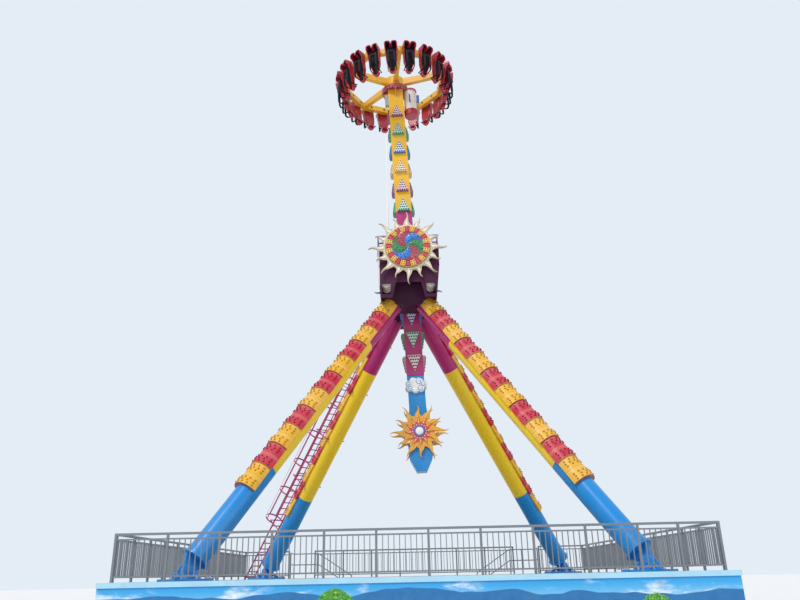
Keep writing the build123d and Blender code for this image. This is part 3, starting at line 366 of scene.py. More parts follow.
def claddingLampFinish():
    # each lamp has the colour of the shell under it, deeper
    look = {"sparks": 45.0, "yellow": ("d9a226", "b37d16"), "red": ("b3183a", "86102c")}
    finish = Finish("claddingLampGlass")
    spark = finish.cells(look["sparks"])
    yellow, ruby = (finish.mix(spark.between(0.0, 0.6), *look[name]) for name in ("yellow", "red"))
    return finish.cover(finish.mix(shellCount(finish)[1], yellow, ruby), 0.14 + 0.2 * spark, spark, 0.003, 0.4)


def muralFinish():
    # the wall's mural: sky that pales downwards, clouds, blue hills, round trees and grass
    look = {
        "top": 1.3, "hills": 1.1, "hillFoot": 0.4, "treeTop": 1.13, "block": (1.2, 0.4), "joint": 0.006,
        "sky": [(0.0, "cfe9f6"), (0.45, "8fcdee"), (0.8, "3aa6e2"), (1.0, "1f8fd6")], "cloud": "f7fbfd",
        "hillBlues": ("2f7fb8", "1c5f9c"), "grass": [(0.35, "2f7a2c"), (0.65, "86bf45")],
        "leaves": [(0.3, "1f5d2b"), (0.5, "3f8f34"), (0.62, "7db63c"), (0.75, "cfd653")],
        "stain": "6d6a5c", "splash": "5d5a4c",
    }
    finish = Finish("muralMasonry")
    x, y, z = finish.axes()
    run = x + y
    flat = finish.joined(run, z, 0.0)
    puffs = finish.grain(1.5, 6.0, 0.62, finish.joined(run * 0.55, z * 1.5, 3.0))
    ridge = finish.grain(0.32, 3.0, 0.5, finish.joined(run, 0.0, 1.0)) * 0.9
    crowns = finish.cells(0.62, finish.joined(run, 0.0, 7.0))
    dabs = finish.grain(17.0, 3.0, 0.6, flat)
    overTrees = z - (look["treeTop"] - crowns * crowns * 3.6) - (dabs - 0.5) * 0.22
    blades = finish.grain(30.0, 2.0, 0.6, finish.joined(run, z * 0.25, 2.0))
    stain = finish.grain(2.6, 5.0, 0.6, finish.stretched(1, 1, 0.35))
    painted = finish.layered(
        finish.ramp(z / look["top"], look["sky"]),
        (puffs.between(0.5, 0.72) * z.between(0.45, 0.8) * 0.85, look["cloud"]),
        (1.0 - (z - ridge * look["hills"] - look["hillFoot"]).between(0.0, 0.02),
         finish.mix(finish.grain(5.0, 3.0, 0.5, flat), *look["hillBlues"])),
        (1.0 - overTrees.between(0.0, 0.03), finish.ramp(dabs, look["leaves"])),
        (1.0 - (z - 0.10 - blades * 0.16).between(0.0, 0.02), finish.ramp(blades, look["grass"])),
        (stain.between(0.55, 0.8) * 0.28, look["stain"]),
        ((1.0 - z.between(0.0, 0.12)) * 0.5, look["splash"]),
    )
    white, black = (1, 1, 1, 1), (0, 0, 0, 1)
    joints = finish.bricks(run, z, look["block"], look["joint"], 0.5, (white, white, black))
    fine = finish.grain(80.0, 3.0, 0.6)
    return finish.cover(painted, 0.5 + 0.3 * fine, fine * 0.4 + joints * 0.6, 0.004, 0.5)


def stoneFinish(name, colour, speck, tiled=None):
    # plain stone, with square tiles inside a border where their reach is given
    look = {"tile": (0.6, 0.6), "joint": 0.01, "tiles": ("b9b6ad", "aaa69c", "77736a"), "streak": "716a5c"}
    finish = Finish(name)
    ground = colour
    if tiled:
        x, y, z = finish.axes()
        slabs = finish.bricks(x, y, look["tile"], look["joint"], 0.0, look["tiles"])
        inside = abs(x).below(tiled[0]) * abs(y).below(tiled[1]) * z.above(ride["deck"] - 0.01)
        ground = finish.mix(inside, ground, slabs)
    broad = finish.grain(1.4, 5.0)
    fine = finish.grain(70.0, 4.0, 0.7)
    base = finish.mix(broad.between(0.35, 0.75) * 0.4, ground, (0.78, 0.78, 0.78, 1), "MULTIPLY")
    streaks = finish.grain(1.0, 5.0, 0.6, finish.stretched(3.0, 3.0, 0.8))
    specks = (fine.between(0.58, 0.75) * 0.35, speck)
    worn = finish.layered(base, specks, (streaks.between(0.6, 0.85) * 0.3, look["streak"]))
    return finish.cover(worn, 0.55 + 0.3 * fine, fine * 0.5 + broad * 0.5, 0.006, 0.5)


# the boards go away from the axle, the first from start; their colours run up the arm from low
bands = {
    "upper": {
        "start": 2.64, "away": 1, "low": 2.545, "driven": 5,
        "edges": ["2f9d78", "8a4d8e", "cdb98a", "2f73c4", "2f9d78", "8a4472"],
        "grounds": ["cfe6da", "e8d4dc", "ece2c8", "dce4f0", "cfe6da", "ead6dc"],
        "lamps": ["117a5c", "6d2560", "b08a48", "16489c", "127a5a", "701f4e"],
    },
    "lower": {
        "start": -1.83, "away": -1, "low": -4.585, "driven": None,
        "edges": ["c9a4ae", "3fa06a", "4a6fc0"],
        "grounds": ["efe0de", "d0e8dc", "dde2f0"],
        "lamps": ["5d1a38", "147a46", "2c3f96"],
    },
}


def bandRamp(finish, band, kind):
    # boards and lamps take their colour from how far out along the arm they stand
    colours = band[kind]
    count = len(colours)
    step = (finish.along(armUp) - band["low"]) / (ride["boardPitch"] * count)
    return finish.ramp(step, [(i / count, colour) for i, colour in enumerate(colours)], "CONSTANT")


def boardFinish(name, band):
    # a board is pale on its face, and its edges and the strip along its base are darker
    look = {"strip": 0.035, "facing": 0.9}
    finish = Finish(name, coat=0.2)
    way = finish.node("TexCoord", out="Normal")
    onSide = abs(finish.along(armSide)).above(ride["armHalf"] + 0.001)
    across, ahead = (abs(finish.dot(way, line)) for line in (armSide, (0, 1, 0)))
    face = (onSide * across + (1.0 - onSide) * ahead).above(look["facing"])
    step = (finish.along(armUp) - band["start"]) * band["away"] / ride["boardPitch"] + 1.0
    face = face * (1.0 - (step % 1.0).below(look["strip"]))
    colour = finish.mix(face, bandRamp(finish, band, "edges"), bandRamp(finish, band, "grounds"))
    return weather(finish, colour, (0.36, 0.2), 0.1, 0.2)


def boardLampFinish(name, band):
    finish = Finish(name, coat=0.3)
    spark = finish.cells(45.0)
    colour = finish.mix(spark.between(0.0, 0.6) * 0.35, bandRamp(finish, band, "lamps"), "2a2030")
    return weather(finish, colour, (0.2, 0.2), 0.05, 0.12)


swirl = {"rim": 0.61, "edge": 0.60, "start": -8.0}  # where the lobes run out, where the ring starts, their turn


def discFinish(name, light, roughness, coat):
    # a ring of red and yellow blocks round six comma-shaped lobes that turn about the middle, with painted shade in
    # the grooves between the lobes
    look = {
        "lobes": ("2c7fd6", "b5394f", "2f8a4c"), "blocks": ("bf2f46", "e3b548"), "rim": "b99a5a",
        "rimFrom": 0.848, "flat": (2.5, 2.5215), "groove": "3a2a35",
    }
    finish = Finish(name, coat=coat)
    x, y, z = finish.axes()
    side = x * (y.below(0.0) * 2.0 - 1.0)
    rise = z - ride["axle"]
    radius = (side * side + rise * rise).root()
    angle = rise.atan2(side) / (2 * math.pi) + 1.0
    bend = (radius / swirl["rim"]).least(1.0).arccosine()
    turned = angle - bend / (2 * math.pi) - swirl["start"] / 360
    stops = [(i / 3, tint(colour, light)) for i, colour in enumerate(look["lobes"])]
    lobes = finish.ramp((turned * 2.0) % 1.0, stops, "CONSTANT")
    block = ((angle * 24.0 + 0.5).floor() % 2.0).above(0.5)
    ring = finish.mix(block, *(tint(colour, light) for colour in look["blocks"]))
    # painted shade: where the plate shows between the raised lobes it is darkened as a groove
    flat = abs(y).below(look["flat"][1]) * abs(y).above(look["flat"][0]) * radius.below(swirl["edge"])
    colour = finish.layered(
        lobes, (radius.above(swirl["edge"]), ring), (radius.above(look["rimFrom"]), tint(look["rim"], light)),
        (flat * 0.45, look["groove"]),
    )
    return weather(finish, colour, (roughness, 0.2), 0.12, 0.2)


def sunFinish():
    # cream plastic, with painted shade in brown in its hollows and between its ridges, dark on its back
    look = {"hollowShade": (2.30, 2.40), "ridges": (2.401, 2.42), "back": 2.305}
    finish = Finish("sunPlastic", coat=0.2)
    depth = abs(finish.axes()[1])
    broad = finish.grain(2.4, 4.0)
    dust = finish.grain(30.0, 4.0, 0.7)
    colour = finish.layered(
        "efe8d6", (broad.between(0.4, 0.7) * 0.25, "d9cba8"),
        # painted shade: brown in the hollows round the flames and on the plate between the ridges
        ((1.0 - depth.between(*look["hollowShade"])) * 0.5, "a58a5a"),
        ((1.0 - depth.between(*look["ridges"])) * 0.5, "9c8760"),
        (depth.below(look["back"]), "1d1a22"), (dust.between(0.6, 0.8) * 0.2, "7a6a4c"),
    )
    return finish.cover(colour, 0.36 + 0.2 * dust, dust * 0.4 + broad * 0.6, 0.008, 0.35)


def vinylFinish(name, colour, shine):
    # grained vinyl: small cells for the grain, softer creases over them
    finish = Finish(name, coat=0.05, gleam=0.25)
    cells = finish.cells(260.0, feature="DISTANCE_TO_EDGE")
    creases = finish.grain(14.0, 4.0, 0.6)
    base = finish.mix(creases.between(0.4, 0.75) * 0.4, colour, "22222b")
    grained = finish.mix(cells.between(0.0, 0.12), "050507", base)
    return finish.cover(grained, shine + 0.2 * creases, cells.between(0.0, 0.2) * 0.35 + creases * 0.65, 0.004, 0.5)


def shellFinish():
    # the seats' red moulding, with pale chips
    finish = Finish("seatMoulding", coat=0.25)
    broad = finish.grain(3.0, 4.0)
    chips = finish.grain(26.0, 5.0, 0.7)
    chipped = (chips.between(0.63, 0.75) * 0.4, "d9868c")
    colour = finish.layered("b01f35", (broad.between(0.35, 0.75) * 0.4, "8e1730"), chipped)
    return finish.cover(colour, 0.24 + 0.25 * chips, broad * 0.8 + chips * 0.2, 0.006, 0.3)


cowlPaint = cowlFinish()
claddingLamp = claddingLampFinish()
discPaint = discFinish("discPlastic", 1.0, 0.36, 0.25)
discLamp = discFinish("discLampGlass", 0.1, 0.3, 0.0)
sunPlastic = sunFinish()
cushionVinyl = vinylFinish("cushionVinyl", "0e0e14", 0.5)
harnessFoam = vinylFinish("harnessFoam", "0c0e1c", 0.55)


def dress(finish, *names):
    for name in names:
        held = nodes[name]
        if not held.material_slots:
            held.data.materials.append(finish.material)
        for place in held.material_slots:
            place.material = finish.material


dress(muralFinish(), "platform")
dress(stoneFinish("copingStone", "a9d7ee", "7fb4d2", (7.72, 7.82)), "coping")
dress(stoneFinish("stairConcrete", "a7a49c", "7c7970"), "stairs")
dress(stainless, "stair_guards", "fence_front", "fence_back", "fence_left", "fence_right")
dress(legFinish(), "leg_front_left", "leg_front_right", "leg_back_left", "leg_back_right")
dress(claddingFinish(), "leg_cladding")
dress(bluePaint, "leg_feet", "counterweight")
dress(magentaPaint, "hub_arm", "ladder", "ladder_cage")
dress(cowlPaint, "tower_heads", "bearing_housings", "head_cowls")
dress(lilacPaint, "balcony_rails")
dress(motorPaint, "swing_drives")
dress(spinMotorFinish(), "spin_motor")
dress(whitePaint, "lightning_rod")
dress(sunPlastic, "sun_plates")
dress(discPaint, "sun_discs")
dress(machined, "swing_shaft")
dress(yellowPaint, "upper_arm", "gondola_hub", "ring_beam", "spokes")
dress(boardFinish("upperBoardPaint", bands["upper"]), "upper_lamp_boards")
dress(boardFinish("lowerBoardPaint", bands["lower"]), "lower_lamp_boards")
dress(cloudPaint, "cloud_ornaments")
dress(crestFinish(), "crest_ornaments")
dress(crimsonPaint, "slew_flange")
dress(greyPaint, "arm_cabinet")
dress(shellFinish(), "seat_shells")
dress(cushionVinyl, "seat_cushions")
dress(harnessFoam, *(f"harness_{number + 1:02d}" for number in range(ride["seats"])))


def added(name, data, finish=None):
    # a new object in the scene
    made = bpy.data.objects.new(name, data)
    bpy.context.collection.objects.link(made)
    if finish:
        data.materials.append(finish.material)
    return made


def finished(name, bm, finish, body, smooth=True, angle=40.0):
    # a mesh object at the origin, with its place in its mesh; edges over the angle stay sharp
    bmesh.ops.remove_doubles(bm, verts=bm.verts[:], dist=0.00005)
    bmesh.ops.recalc_face_normals(bm, faces=bm.faces[:])
    for face in bm.faces:
        face.smooth = smooth
    if smooth and angle:
        for edge in bm.edges:
            if len(edge.link_faces) == 2 and edge.calc_face_angle(0.0) > math.radians(angle):
                edge.smooth = False
    made = added(name, template(bm, name), finish)
    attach(made, body)
    return made


def template(shape, name="stampShape"):
    # keeps a shape as a mesh
    mesh = bpy.data.meshes.new(name)
    shape.to_mesh(mesh)
    shape.free()
    return mesh


def stamp(bm, mesh, place):
    before = len(bm.verts)
    bm.from_mesh(mesh)
    bm.verts.ensure_lookup_table()
    bmesh.ops.transform(bm, matrix=place, verts=bm.verts[before:])


def loopEdges(verts):
    chosen = set(verts)
    return [e for e in {e for v in verts for e in v.link_edges} if e.verts[0] in chosen and e.verts[1] in chosen]


def sweep(bm, stations, sides=10, closed=True):
    # a tube drawn out of a circle from station to station; a station is a place with its two half sizes in it
    ring = bmesh.ops.create_circle(bm, cap_ends=False, segments=sides, radius=1.0)["verts"]
    bmesh.ops.transform(bm, matrix=stations[0], verts=ring)
    edges = loopEdges(ring)
    if closed:
        bmesh.ops.edgeloop_fill(bm, edges=edges)
    for last, here in zip(stations, stations[1:]):
        grown = bmesh.ops.extrude_edge_only(bm, edges=edges)["geom"]
        ring = [g for g in grown if isinstance(g, bmesh.types.BMVert)]
        bmesh.ops.transform(bm, matrix=here @ last.inverted(), verts=ring)
        edges = loopEdges(ring)
    if closed:
        bmesh.ops.edgeloop_fill(bm, edges=edges)


def station(place, along, wide, high, up=(0, 0, 1)):
    # the ring's own Z runs along the way, its Y near up; wide and high are its half sizes
    z = Vector(along).normalized()
    y = (Vector(up) - z * z.dot(Vector(up))).normalized()
    made = Matrix((y.cross(z) * wide, y * high, z)).transposed().to_4x4()
    made.translation = place
    return made


def dome(radius, height, sides=7, rings=2):
    # a low closed cap that stands on Z = 0
    bm = bmesh.new()
    bmesh.ops.create_uvsphere(bm, u_segments=sides, v_segments=rings * 2, radius=1.0)
    whole = bm.verts[:] + bm.edges[:] + bm.faces[:]
    cut = bmesh.ops.bisect_plane(bm, geom=whole, plane_co=(0, 0, -0.02), plane_no=(0, 0, -1), clear_outer=True)
    bmesh.ops.edgeloop_fill(bm, edges=[g for g in cut["geom_cut"] if isinstance(g, bmesh.types.BMEdge)])
    bmesh.ops.scale(bm, vec=(radius, radius, height), verts=bm.verts[:])
    return template(bm)


def boltHead(across, height, washer):
    # a six-sided head on a round washer
    bm = bmesh.new()
    bmesh.ops.create_cone(bm, cap_ends=True, segments=12, radius1=washer, radius2=washer, depth=height * 0.25)
    bmesh.ops.translate(bm, vec=(0, 0, height * 0.125), verts=bm.verts[:])
    low = len(bm.verts)
    bmesh.ops.create_cone(bm, cap_ends=True, segments=6, radius1=across / 2, radius2=across * 0.46, depth=height)
    bm.verts.ensure_lookup_table()
    bmesh.ops.translate(bm, vec=(0, 0, height * 0.75), verts=bm.verts[low:])
    return template(bm)


print("lamps")


def claddingLamps():
    # six rows of lamps round the outer side of each shell, nearer the tube towards its upper end
    look = {
        "thin": 0.055, "thick": 0.11, "rows": [0.08, 0.19, 0.30, 0.66, 0.77, 0.88], "fan": 78.0, "across": 7,
        "radius": 0.034, "height": 0.042,
    }
    lamp = dome(look["radius"], look["height"])
    bm = bmesh.new()
    for corner in fourLegs:
        for shell in range(cladding["shells"]):
            for row, share in enumerate(look["rows"]):
                up = Vector((0, 0, cladding["low"] + cladding["pitch"] * (shell + share)))
                out = ride["legRadius"] + look["thin"] + (look["thick"] - look["thin"]) * (1 - share)
                across = look["across"] - row % 2
                for k in range(across):
                    way = around(math.radians(look["fan"] * (2 * (k + 0.5) / across - 1)))
                    stamp(bm, lamp, corner @ legPlace @ frameOf(way * out + up, (0, 0, 1), way))
    finished("claddingLamps", bm, claddingLamp, "base")


def boardLamps(name, band):
    # a triangle of lamps on each board, five in its widest row; the spin drive hides one board's side
    look = {"thick": 0.11, "thin": 0.025, "height": 0.64, "width": 0.53, "rows": 5, "radius": 0.038, "rise": 0.034}
    lamp = dome(look["radius"], look["rise"], 8)
    fall = look["thick"] - look["thin"]
    tilt = math.atan2(fall, look["height"])
    away = band["away"]
    face = (math.cos(tilt), 0, away * math.sin(tilt))
    bm = bmesh.new()
    for number in range(len(band["lamps"])):
        start = band["start"] + away * ride["boardPitch"] * number
        for side in range(number == band["driven"], 4):
            for row in range(look["rows"]):
                share = (row + 0.55) / (look["rows"] + 0.35)
                count = look["rows"] - row
                for k in range(count):
                    across = look["width"] * (1 - share) * ((k + 0.5) / count - 0.5)
                    out = ride["armHalf"] + look["thick"] - fall * share
                    spot = Vector((out, across, start + away * look["height"] * share))
                    stamp(bm, lamp, upright @ spun(math.pi / 2 * side) @ frameOf(spot, (0, 1, 0), face))
    finished(f"{name}BoardLamps", bm, boardLampFinish(f"{name}LampGlass", band), "pendulum")


claddingLamps()
for name, band in bands.items():
    boardLamps(name, band)

print("sun")


def through(share, points):
    # the smooth curve through a few points, read at a share
    total = 0.0
    for here, value in points:
        for other, _ in points:
            if other != here:
                value *= (share - other) / (here - other)
        total += value
    return total


def flameRidges(bm, place, look):
    # a rounded ridge up the middle of each flame and a bead along each of its edges, half buried in the plate
    steps, low, least = 9, look["ring"] * 0.97, 0.004
    bend = [(0, 0), (0.30, 0.07), (0.67, -0.05), (1, 0.14)]
    for number in range(look["count"]):
        reach = look["tips"][number % 2] - low
        turn = place @ spun(2 * math.pi * number / look["count"])
        line, halves = [], []
        for i in range(steps):
            share = 0.97 * i / (steps - 1)
            line.append(Vector((low + reach * share, through(share, bend) * look["root"], 0)))
            halves.append(0.5 * look["root"] * (1 - share) ** 1.8)
        ways = [(b - a).normalized() for a, b in zip(line, line[1:])]
        ways.append(ways[-1])
        for shift, wide, rise in look["lines"]:
            stations = []
            for spot, way, half in zip(line, ways, halves):
                high = max(rise * (half * 2 / look["root"]) ** 0.5, least)
                side = Vector((-way.y, way.x, 0))
                stations.append(turn @ station(spot + side * half * shift, way, max(half * wide, least), high))
            sweep(bm, stations, 6)


def ringBead(bm, place, radius, thick, steps=72):
    # a bead that runs all the way round
    line = [around(2 * math.pi * i / steps) * radius for i in range(steps + 1)]
    sweep(bm, [place @ station(spot, (-spot.y, spot.x, 0), thick, thick) for spot in line], 6, False)


def facing(depth, centre):
    # a place on a front face at that depth, its X to the right, its Y up and its Z outwards
    return frameOf(Vector((0, -depth, centre)), (1, 0, 0), (0, -1, 0))


def onSuns(depth):
    return [turn @ facing(depth, ride["axle"]) for turn in bothFaces]


def sunRidges():
    look = {
        "plate": 2.4, "ring": 0.96, "tips": (1.52, 1.34), "root": 0.33, "count": 16,
        "lines": [(0, 0.42, 0.034), (-0.8, 0.13, 0.018), (0.8, 0.13, 0.018)],
        "beads": [(0.905, 0.026), (0.875, 0.014)],
    }
    bm = bmesh.new()
    for place in onSuns(look["plate"]):
        flameRidges(bm, place, look)
        for radius, thick in look["beads"]:
            ringBead(bm, place, radius, thick)
    finished("sunRidges", bm, sunPlastic, "base")


def pillow(long, wide, rise):
    # a block with rounded edges and a crowned top, which stands on Z = 0
    bm = bmesh.new()
    bmesh.ops.create_cube(bm, size=1.0)
    bmesh.ops.scale(bm, vec=(long, wide, rise), verts=bm.verts[:])
    bmesh.ops.translate(bm, vec=(0, 0, rise / 2), verts=bm.verts[:])
    top = max(bm.faces, key=lambda face: face.calc_center_median().z)
    bmesh.ops.inset_region(bm, faces=[top], thickness=rise * 0.8, depth=rise * 0.35)
    edges = [e for e in bm.edges if min(v.co.z for v in e.verts) > 0.001]
    bmesh.ops.bevel(
        bm, geom=edges, offset=rise * 0.25, offset_type="OFFSET", affect="EDGES", segments=2, profile=0.5, material=-1
    )
    return template(bm)


ring = {"count": 24, "radius": 0.725, "turn": math.radians(15)}  # the blocks round the disc


def discBlocks():
    # raised blocks sit on the drum's own, and narrower red ones fill the gaps between them
    look = {
        "long": 0.205, "wide": 0.2, "narrow": 0.135, "rise": 0.022, "low": 2.495, "high": 2.52,
        "outerBead": (0.848, 0.016), "innerBead": (0.583, 0.014),
    }
    yellow, red = (pillow(look["long"], look[width], look["rise"]) for width in ("wide", "narrow"))
    bm = bmesh.new()
    for low, high in zip(onSuns(look["low"]), onSuns(look["high"])):
        for number in range(ring["count"]):
            spin = spun(ring["turn"] * number) @ Matrix.Translation((ring["radius"], 0, 0))
            if number % 2:
                stamp(bm, yellow, high @ spin)
            else:
                stamp(bm, red, low @ spin)
        ringBead(bm, low, *look["outerBead"])
        ringBead(bm, high, *look["innerBead"])
    finished("discBlocks", bm, discPaint, "base")


lobe = {
    "count": 6, "face": 2.52, "rise": 0.034, "from": 0.03, "to": 0.555, "steps": 14, "full": 0.86, "tall": 0.1,
}


def lobeSpot(radius, number):
    # the middle line of a lobe, which leaves the centre, bends and runs along the rim
    start = math.radians(swirl["start"] + 360 / lobe["count"] * (number + 0.5))
    return around(start + math.acos(radius / swirl["rim"])) * radius


def lobeAt(radius, number):
    # the spot, the way, the half width and the height of a lobe at a radius
    way = lobeSpot(radius + 0.003, number) - lobeSpot(radius - 0.003, number)
    half = radius * math.pi / lobe["count"] * math.sqrt(1 - (radius / swirl["rim"]) ** 2) * lobe["full"]
    return lobeSpot(radius, number), way.normalized(), half, lobe["rise"] * min(1, half / lobe["tall"])


def discLobes():
    bm = bmesh.new()
    for place in onSuns(lobe["face"]):
        for number in range(lobe["count"]):
            stations = []
            for i in range(lobe["steps"] + 1):
                radius = lobe["from"] + (lobe["to"] - lobe["from"]) * (i / lobe["steps"]) ** 0.8
                spot, way, half, high = lobeAt(radius, number)
                stations.append(place @ station(spot, way, half, high))
            sweep(bm, stations, 12)
    finished("discLobes", bm, discPaint, "base")


def discLamps():
    # rows of lamps across the lobes, each on the lobe's crown
    look = {"radii": [0.13, 0.225, 0.32, 0.41, 0.50], "gap": 0.105, "radius": 0.025, "rise": 0.022, "reach": 0.9}
    lamp = dome(look["radius"], look["rise"])
    bm = bmesh.new()
    for place in onSuns(lobe["face"]):
        for number in range(lobe["count"]):
            for radius in look["radii"]:
                middle, way, half, high = lobeAt(radius, number)
                side = Vector((-way.y, way.x, 0))
                count = max(1, round(2 * half / look["gap"]))
                for k in range(count):
                    share = (2 * (k + 0.5) / count - 1) * look["reach"]
                    spot = middle + side * half * share
                    rise = high * math.sqrt(1 - share ** 2) * 0.92
                    stamp(bm, lamp, place @ Matrix.Translation(spot + Vector((0, 0, rise))))
    finished("discLamps", bm, discLamp, "base")


def blockLamps():
    # four small lamps on each yellow block
    look = {"gap": 0.048, "face": 2.548, "size": 0.026, "rise": 0.016}
    lamp = dome(look["size"], look["rise"])
    bm = bmesh.new()
    for place in onSuns(look["face"]):
        for number in range(1, ring["count"], 2):
            spin = spun(ring["turn"] * number)
            for x in (-look["gap"], look["gap"]):
                for y in (-look["gap"], look["gap"]):
                    stamp(bm, lamp, place @ spin @ Matrix.Translation((ring["radius"] + x, y, 0)))
    finished("blockLamps", bm, discLamp, "base")


sunRidges()
discBlocks()
discLobes()
discLamps()
blockLamps()

print("ornaments")


def cloudPuffs():
    # a low dome on each round of the cloud, with a curl on the outer ones
    look = {
        "face": 0.39, "middle": -4.91, "width": 0.82, "puff": 0.14, "rise": 0.06, "curl": 0.013, "turns": 1.4,
        "puffs": [
            (-0.36, 0.1, 0.9), (-0.13, 0.45, 1.1), (0.14, 0.35, 1.2), (0.36, 0.0, 0.95),
            (0.2, -0.6, 1.0), (-0.05, -0.75, 0.95), (-0.28, -0.5, 0.9), (0.0, -0.1, 1.4),
        ],
        "curled": (0, 2, 3, 4, 6), "steps": 21,
    }
    plain = dome(1.0, 1.0, 22, 5)
    puffs, curls = bmesh.new(), bmesh.new()
    for turn in bothFaces:
        for number, (x, z, size) in enumerate(look["puffs"]):
            radius = size * look["puff"]
            high = look["rise"] * (0.8 + 0.1 * (number % 3))
            centre = Vector((x * look["width"], -look["face"], look["middle"] + z * 2 * look["puff"]))
            place = upright @ turn @ frameOf(centre, (1, 0, 0), (0, -1, 0))
            stamp(puffs, plain, place @ Matrix.Diagonal((radius * 0.97, radius * 0.97, high, 1)))
            if number in look["curled"]:
                hand = 1 if x > 0 else -1
                stations = []
                for i in range(look["steps"] + 1):
                    share = i / look["steps"]
                    out = radius * (0.86 - 0.72 * share)
                    angle = hand * (2 * math.pi * look["turns"] * share + 0.6)
                    lift = high * math.sqrt(1 - (out / radius) ** 2)
                    spot = around(angle) * out + Vector((0, 0, lift))
                    thick = look["curl"] * (0.35 + 0.65 * math.sin(math.pi * (0.1 + 0.9 * share)))
                    stations.append(place @ station(spot, around(angle + hand * math.pi / 2), thick, thick))
                sweep(curls, stations, 6)
    finished("cloudPuffs", puffs, cloudPaint, "pendulum")
    finished("cloudCurls", curls, curlPaint, "pendulum")


def crestRidges():
    # ridges on both rings of flames, and a button with a ring of pearls on the boss
    outer = {
        "ring": 0.56, "tips": (1.13, 0.99), "root": 0.33, "count": 12,
        "lines": [(0, 0.4, 0.03), (-0.8, 0.13, 0.014), (0.8, 0.13, 0.014)],
    }
    inner = {"ring": 0.33, "tips": (0.64, 0.64), "root": 0.198, "count": 12, "lines": [(0, 0.5, 0.022)]}
    look = {
        "outer": 0.41, "inner": 0.445, "boss": 0.475, "button": (0.15, 0.05), "pearl": (0.022, 0.018), "pearls": 16,
        "pearlRing": 0.262,
    }
    beads, button = bmesh.new(), bmesh.new()
    middle, pearl = dome(*look["button"], 24, 5), dome(*look["pearl"], 8)
    for turn in bothFaces:
        low, mid, high = (upright @ turn @ facing(look[k], ride["crest"]) for k in ("outer", "inner", "boss"))
        flameRidges(beads, low, outer)
        flameRidges(beads, mid, inner)
        stamp(button, middle, high)
        for number in range(look["pearls"]):
            spin = spun(2 * math.pi / look["pearls"] * number)
            stamp(button, pearl, mid @ spin @ Matrix.Translation((look["pearlRing"], 0, 0)))
    finished("crestRidges", beads, yellowPaint, "pendulum")
    finished("crestButton", button, cloudPaint, "pendulum")


cloudPuffs()
crestRidges()

print("fittings")


def flangeBolts():
    # bolts through the slewing flange from below, clear of the spin drive
    look = {"count": 28, "radius": 0.572, "driveHalf": 0.33, "head": (0.052, 0.03, 0.036)}
    head = boltHead(*look["head"])
    bm = bmesh.new()
    for number in range(look["count"]):
        spot = around(2 * math.pi * (number + 0.5) / look["count"])
        if abs(spot.y) * look["radius"] > look["driveHalf"] or spot.x < 0:
            under = spot * look["radius"] + Vector((0, 0, ride["armTop"]))
            stamp(bm, head, upright @ frameOf(under, (1, 0, 0), (0, 0, -1)))
    finished("flangeBolts", bm, galvanised, "pendulum", smooth=False)


def footBolts():
    # twelve anchor bolts round each foot's base plate
    look = {"top": 1.36, "reach": 0.495, "spots": (-1, -0.42, 0.42, 1), "head": (0.07, 0.05, 0.05)}
    head = boltHead(*look["head"])
    bm = bmesh.new()
    for corner in fourLegs:
        for x in look["spots"]:
            for y in look["spots"]:
                if max(abs(x), abs(y)) == 1:
                    spot = (ride["foot"].x + x * look["reach"], ride["foot"].y + y * look["reach"], look["top"])
                    stamp(bm, head, corner @ Matrix.Translation(spot))
    finished("footBolts", bm, galvanised, "base", smooth=False)


def ringPorts():
    # round ports on the ring beam's inner face, one behind each seat; a dark dish of painted shade stands for each
    # port's hollow inside
    look = {"radius": 0.062, "rise": 0.004, "sunk": 0.001, "rim": 0.012, "inner": 2.06, "facet": 9}
    rims, dishes = bmesh.new(), bmesh.new()
    dish = dome(look["radius"], look["rise"], 20)
    for number in range(ride["seats"]):
        seat = ride["firstSeat"] + 2 * math.pi * number / ride["seats"]
        facet = seat + math.radians(-look["facet"] if number % 2 else look["facet"])
        way = around(facet)
        spot = around(seat) * (look["inner"] / math.cos(seat - facet)) + Vector((0, 0, ride["ringRise"]))
        place = upright @ frameOf(spot - way * look["sunk"], (0, 0, 1), -way)
        stamp(dishes, dish, place)
        ringBead(rims, place, look["radius"], look["rim"], 20)
    finished("ringPortRims", rims, yellowPaint, "gondola")
    # the dark dishes are painted shade for the ports' insides
    finished("ringPorts", dishes, portShadePaint, "gondola")


flangeBolts()
footBolts()
ringPorts()

print("seats")


def seatPlace(number):
    # a seat's own place: X out from the ring, Y across, Z towards the gondola's outer side
    turn = spun(ride["firstSeat"] + 2 * math.pi * number / ride["seats"])
    return upright @ turn @ Matrix.Translation((ride["seatFace"], 0, ride["ringRise"]))


def lifted(node, place, low, high):
    # a merged copy of one piece of a node, in the place's own axes
    bm = bmesh.new()
    bm.from_mesh(nodes[node].data)
    bmesh.ops.transform(bm, matrix=place.inverted(), verts=bm.verts[:])
    away = [v for v in bm.verts if any(c < l or c > h for c, l, h in zip(v.co, low, high))]
    bmesh.ops.delete(bm, geom=away, context="VERTS")
    bmesh.ops.remove_doubles(bm, verts=bm.verts[:], dist=0.0002)
    return bm


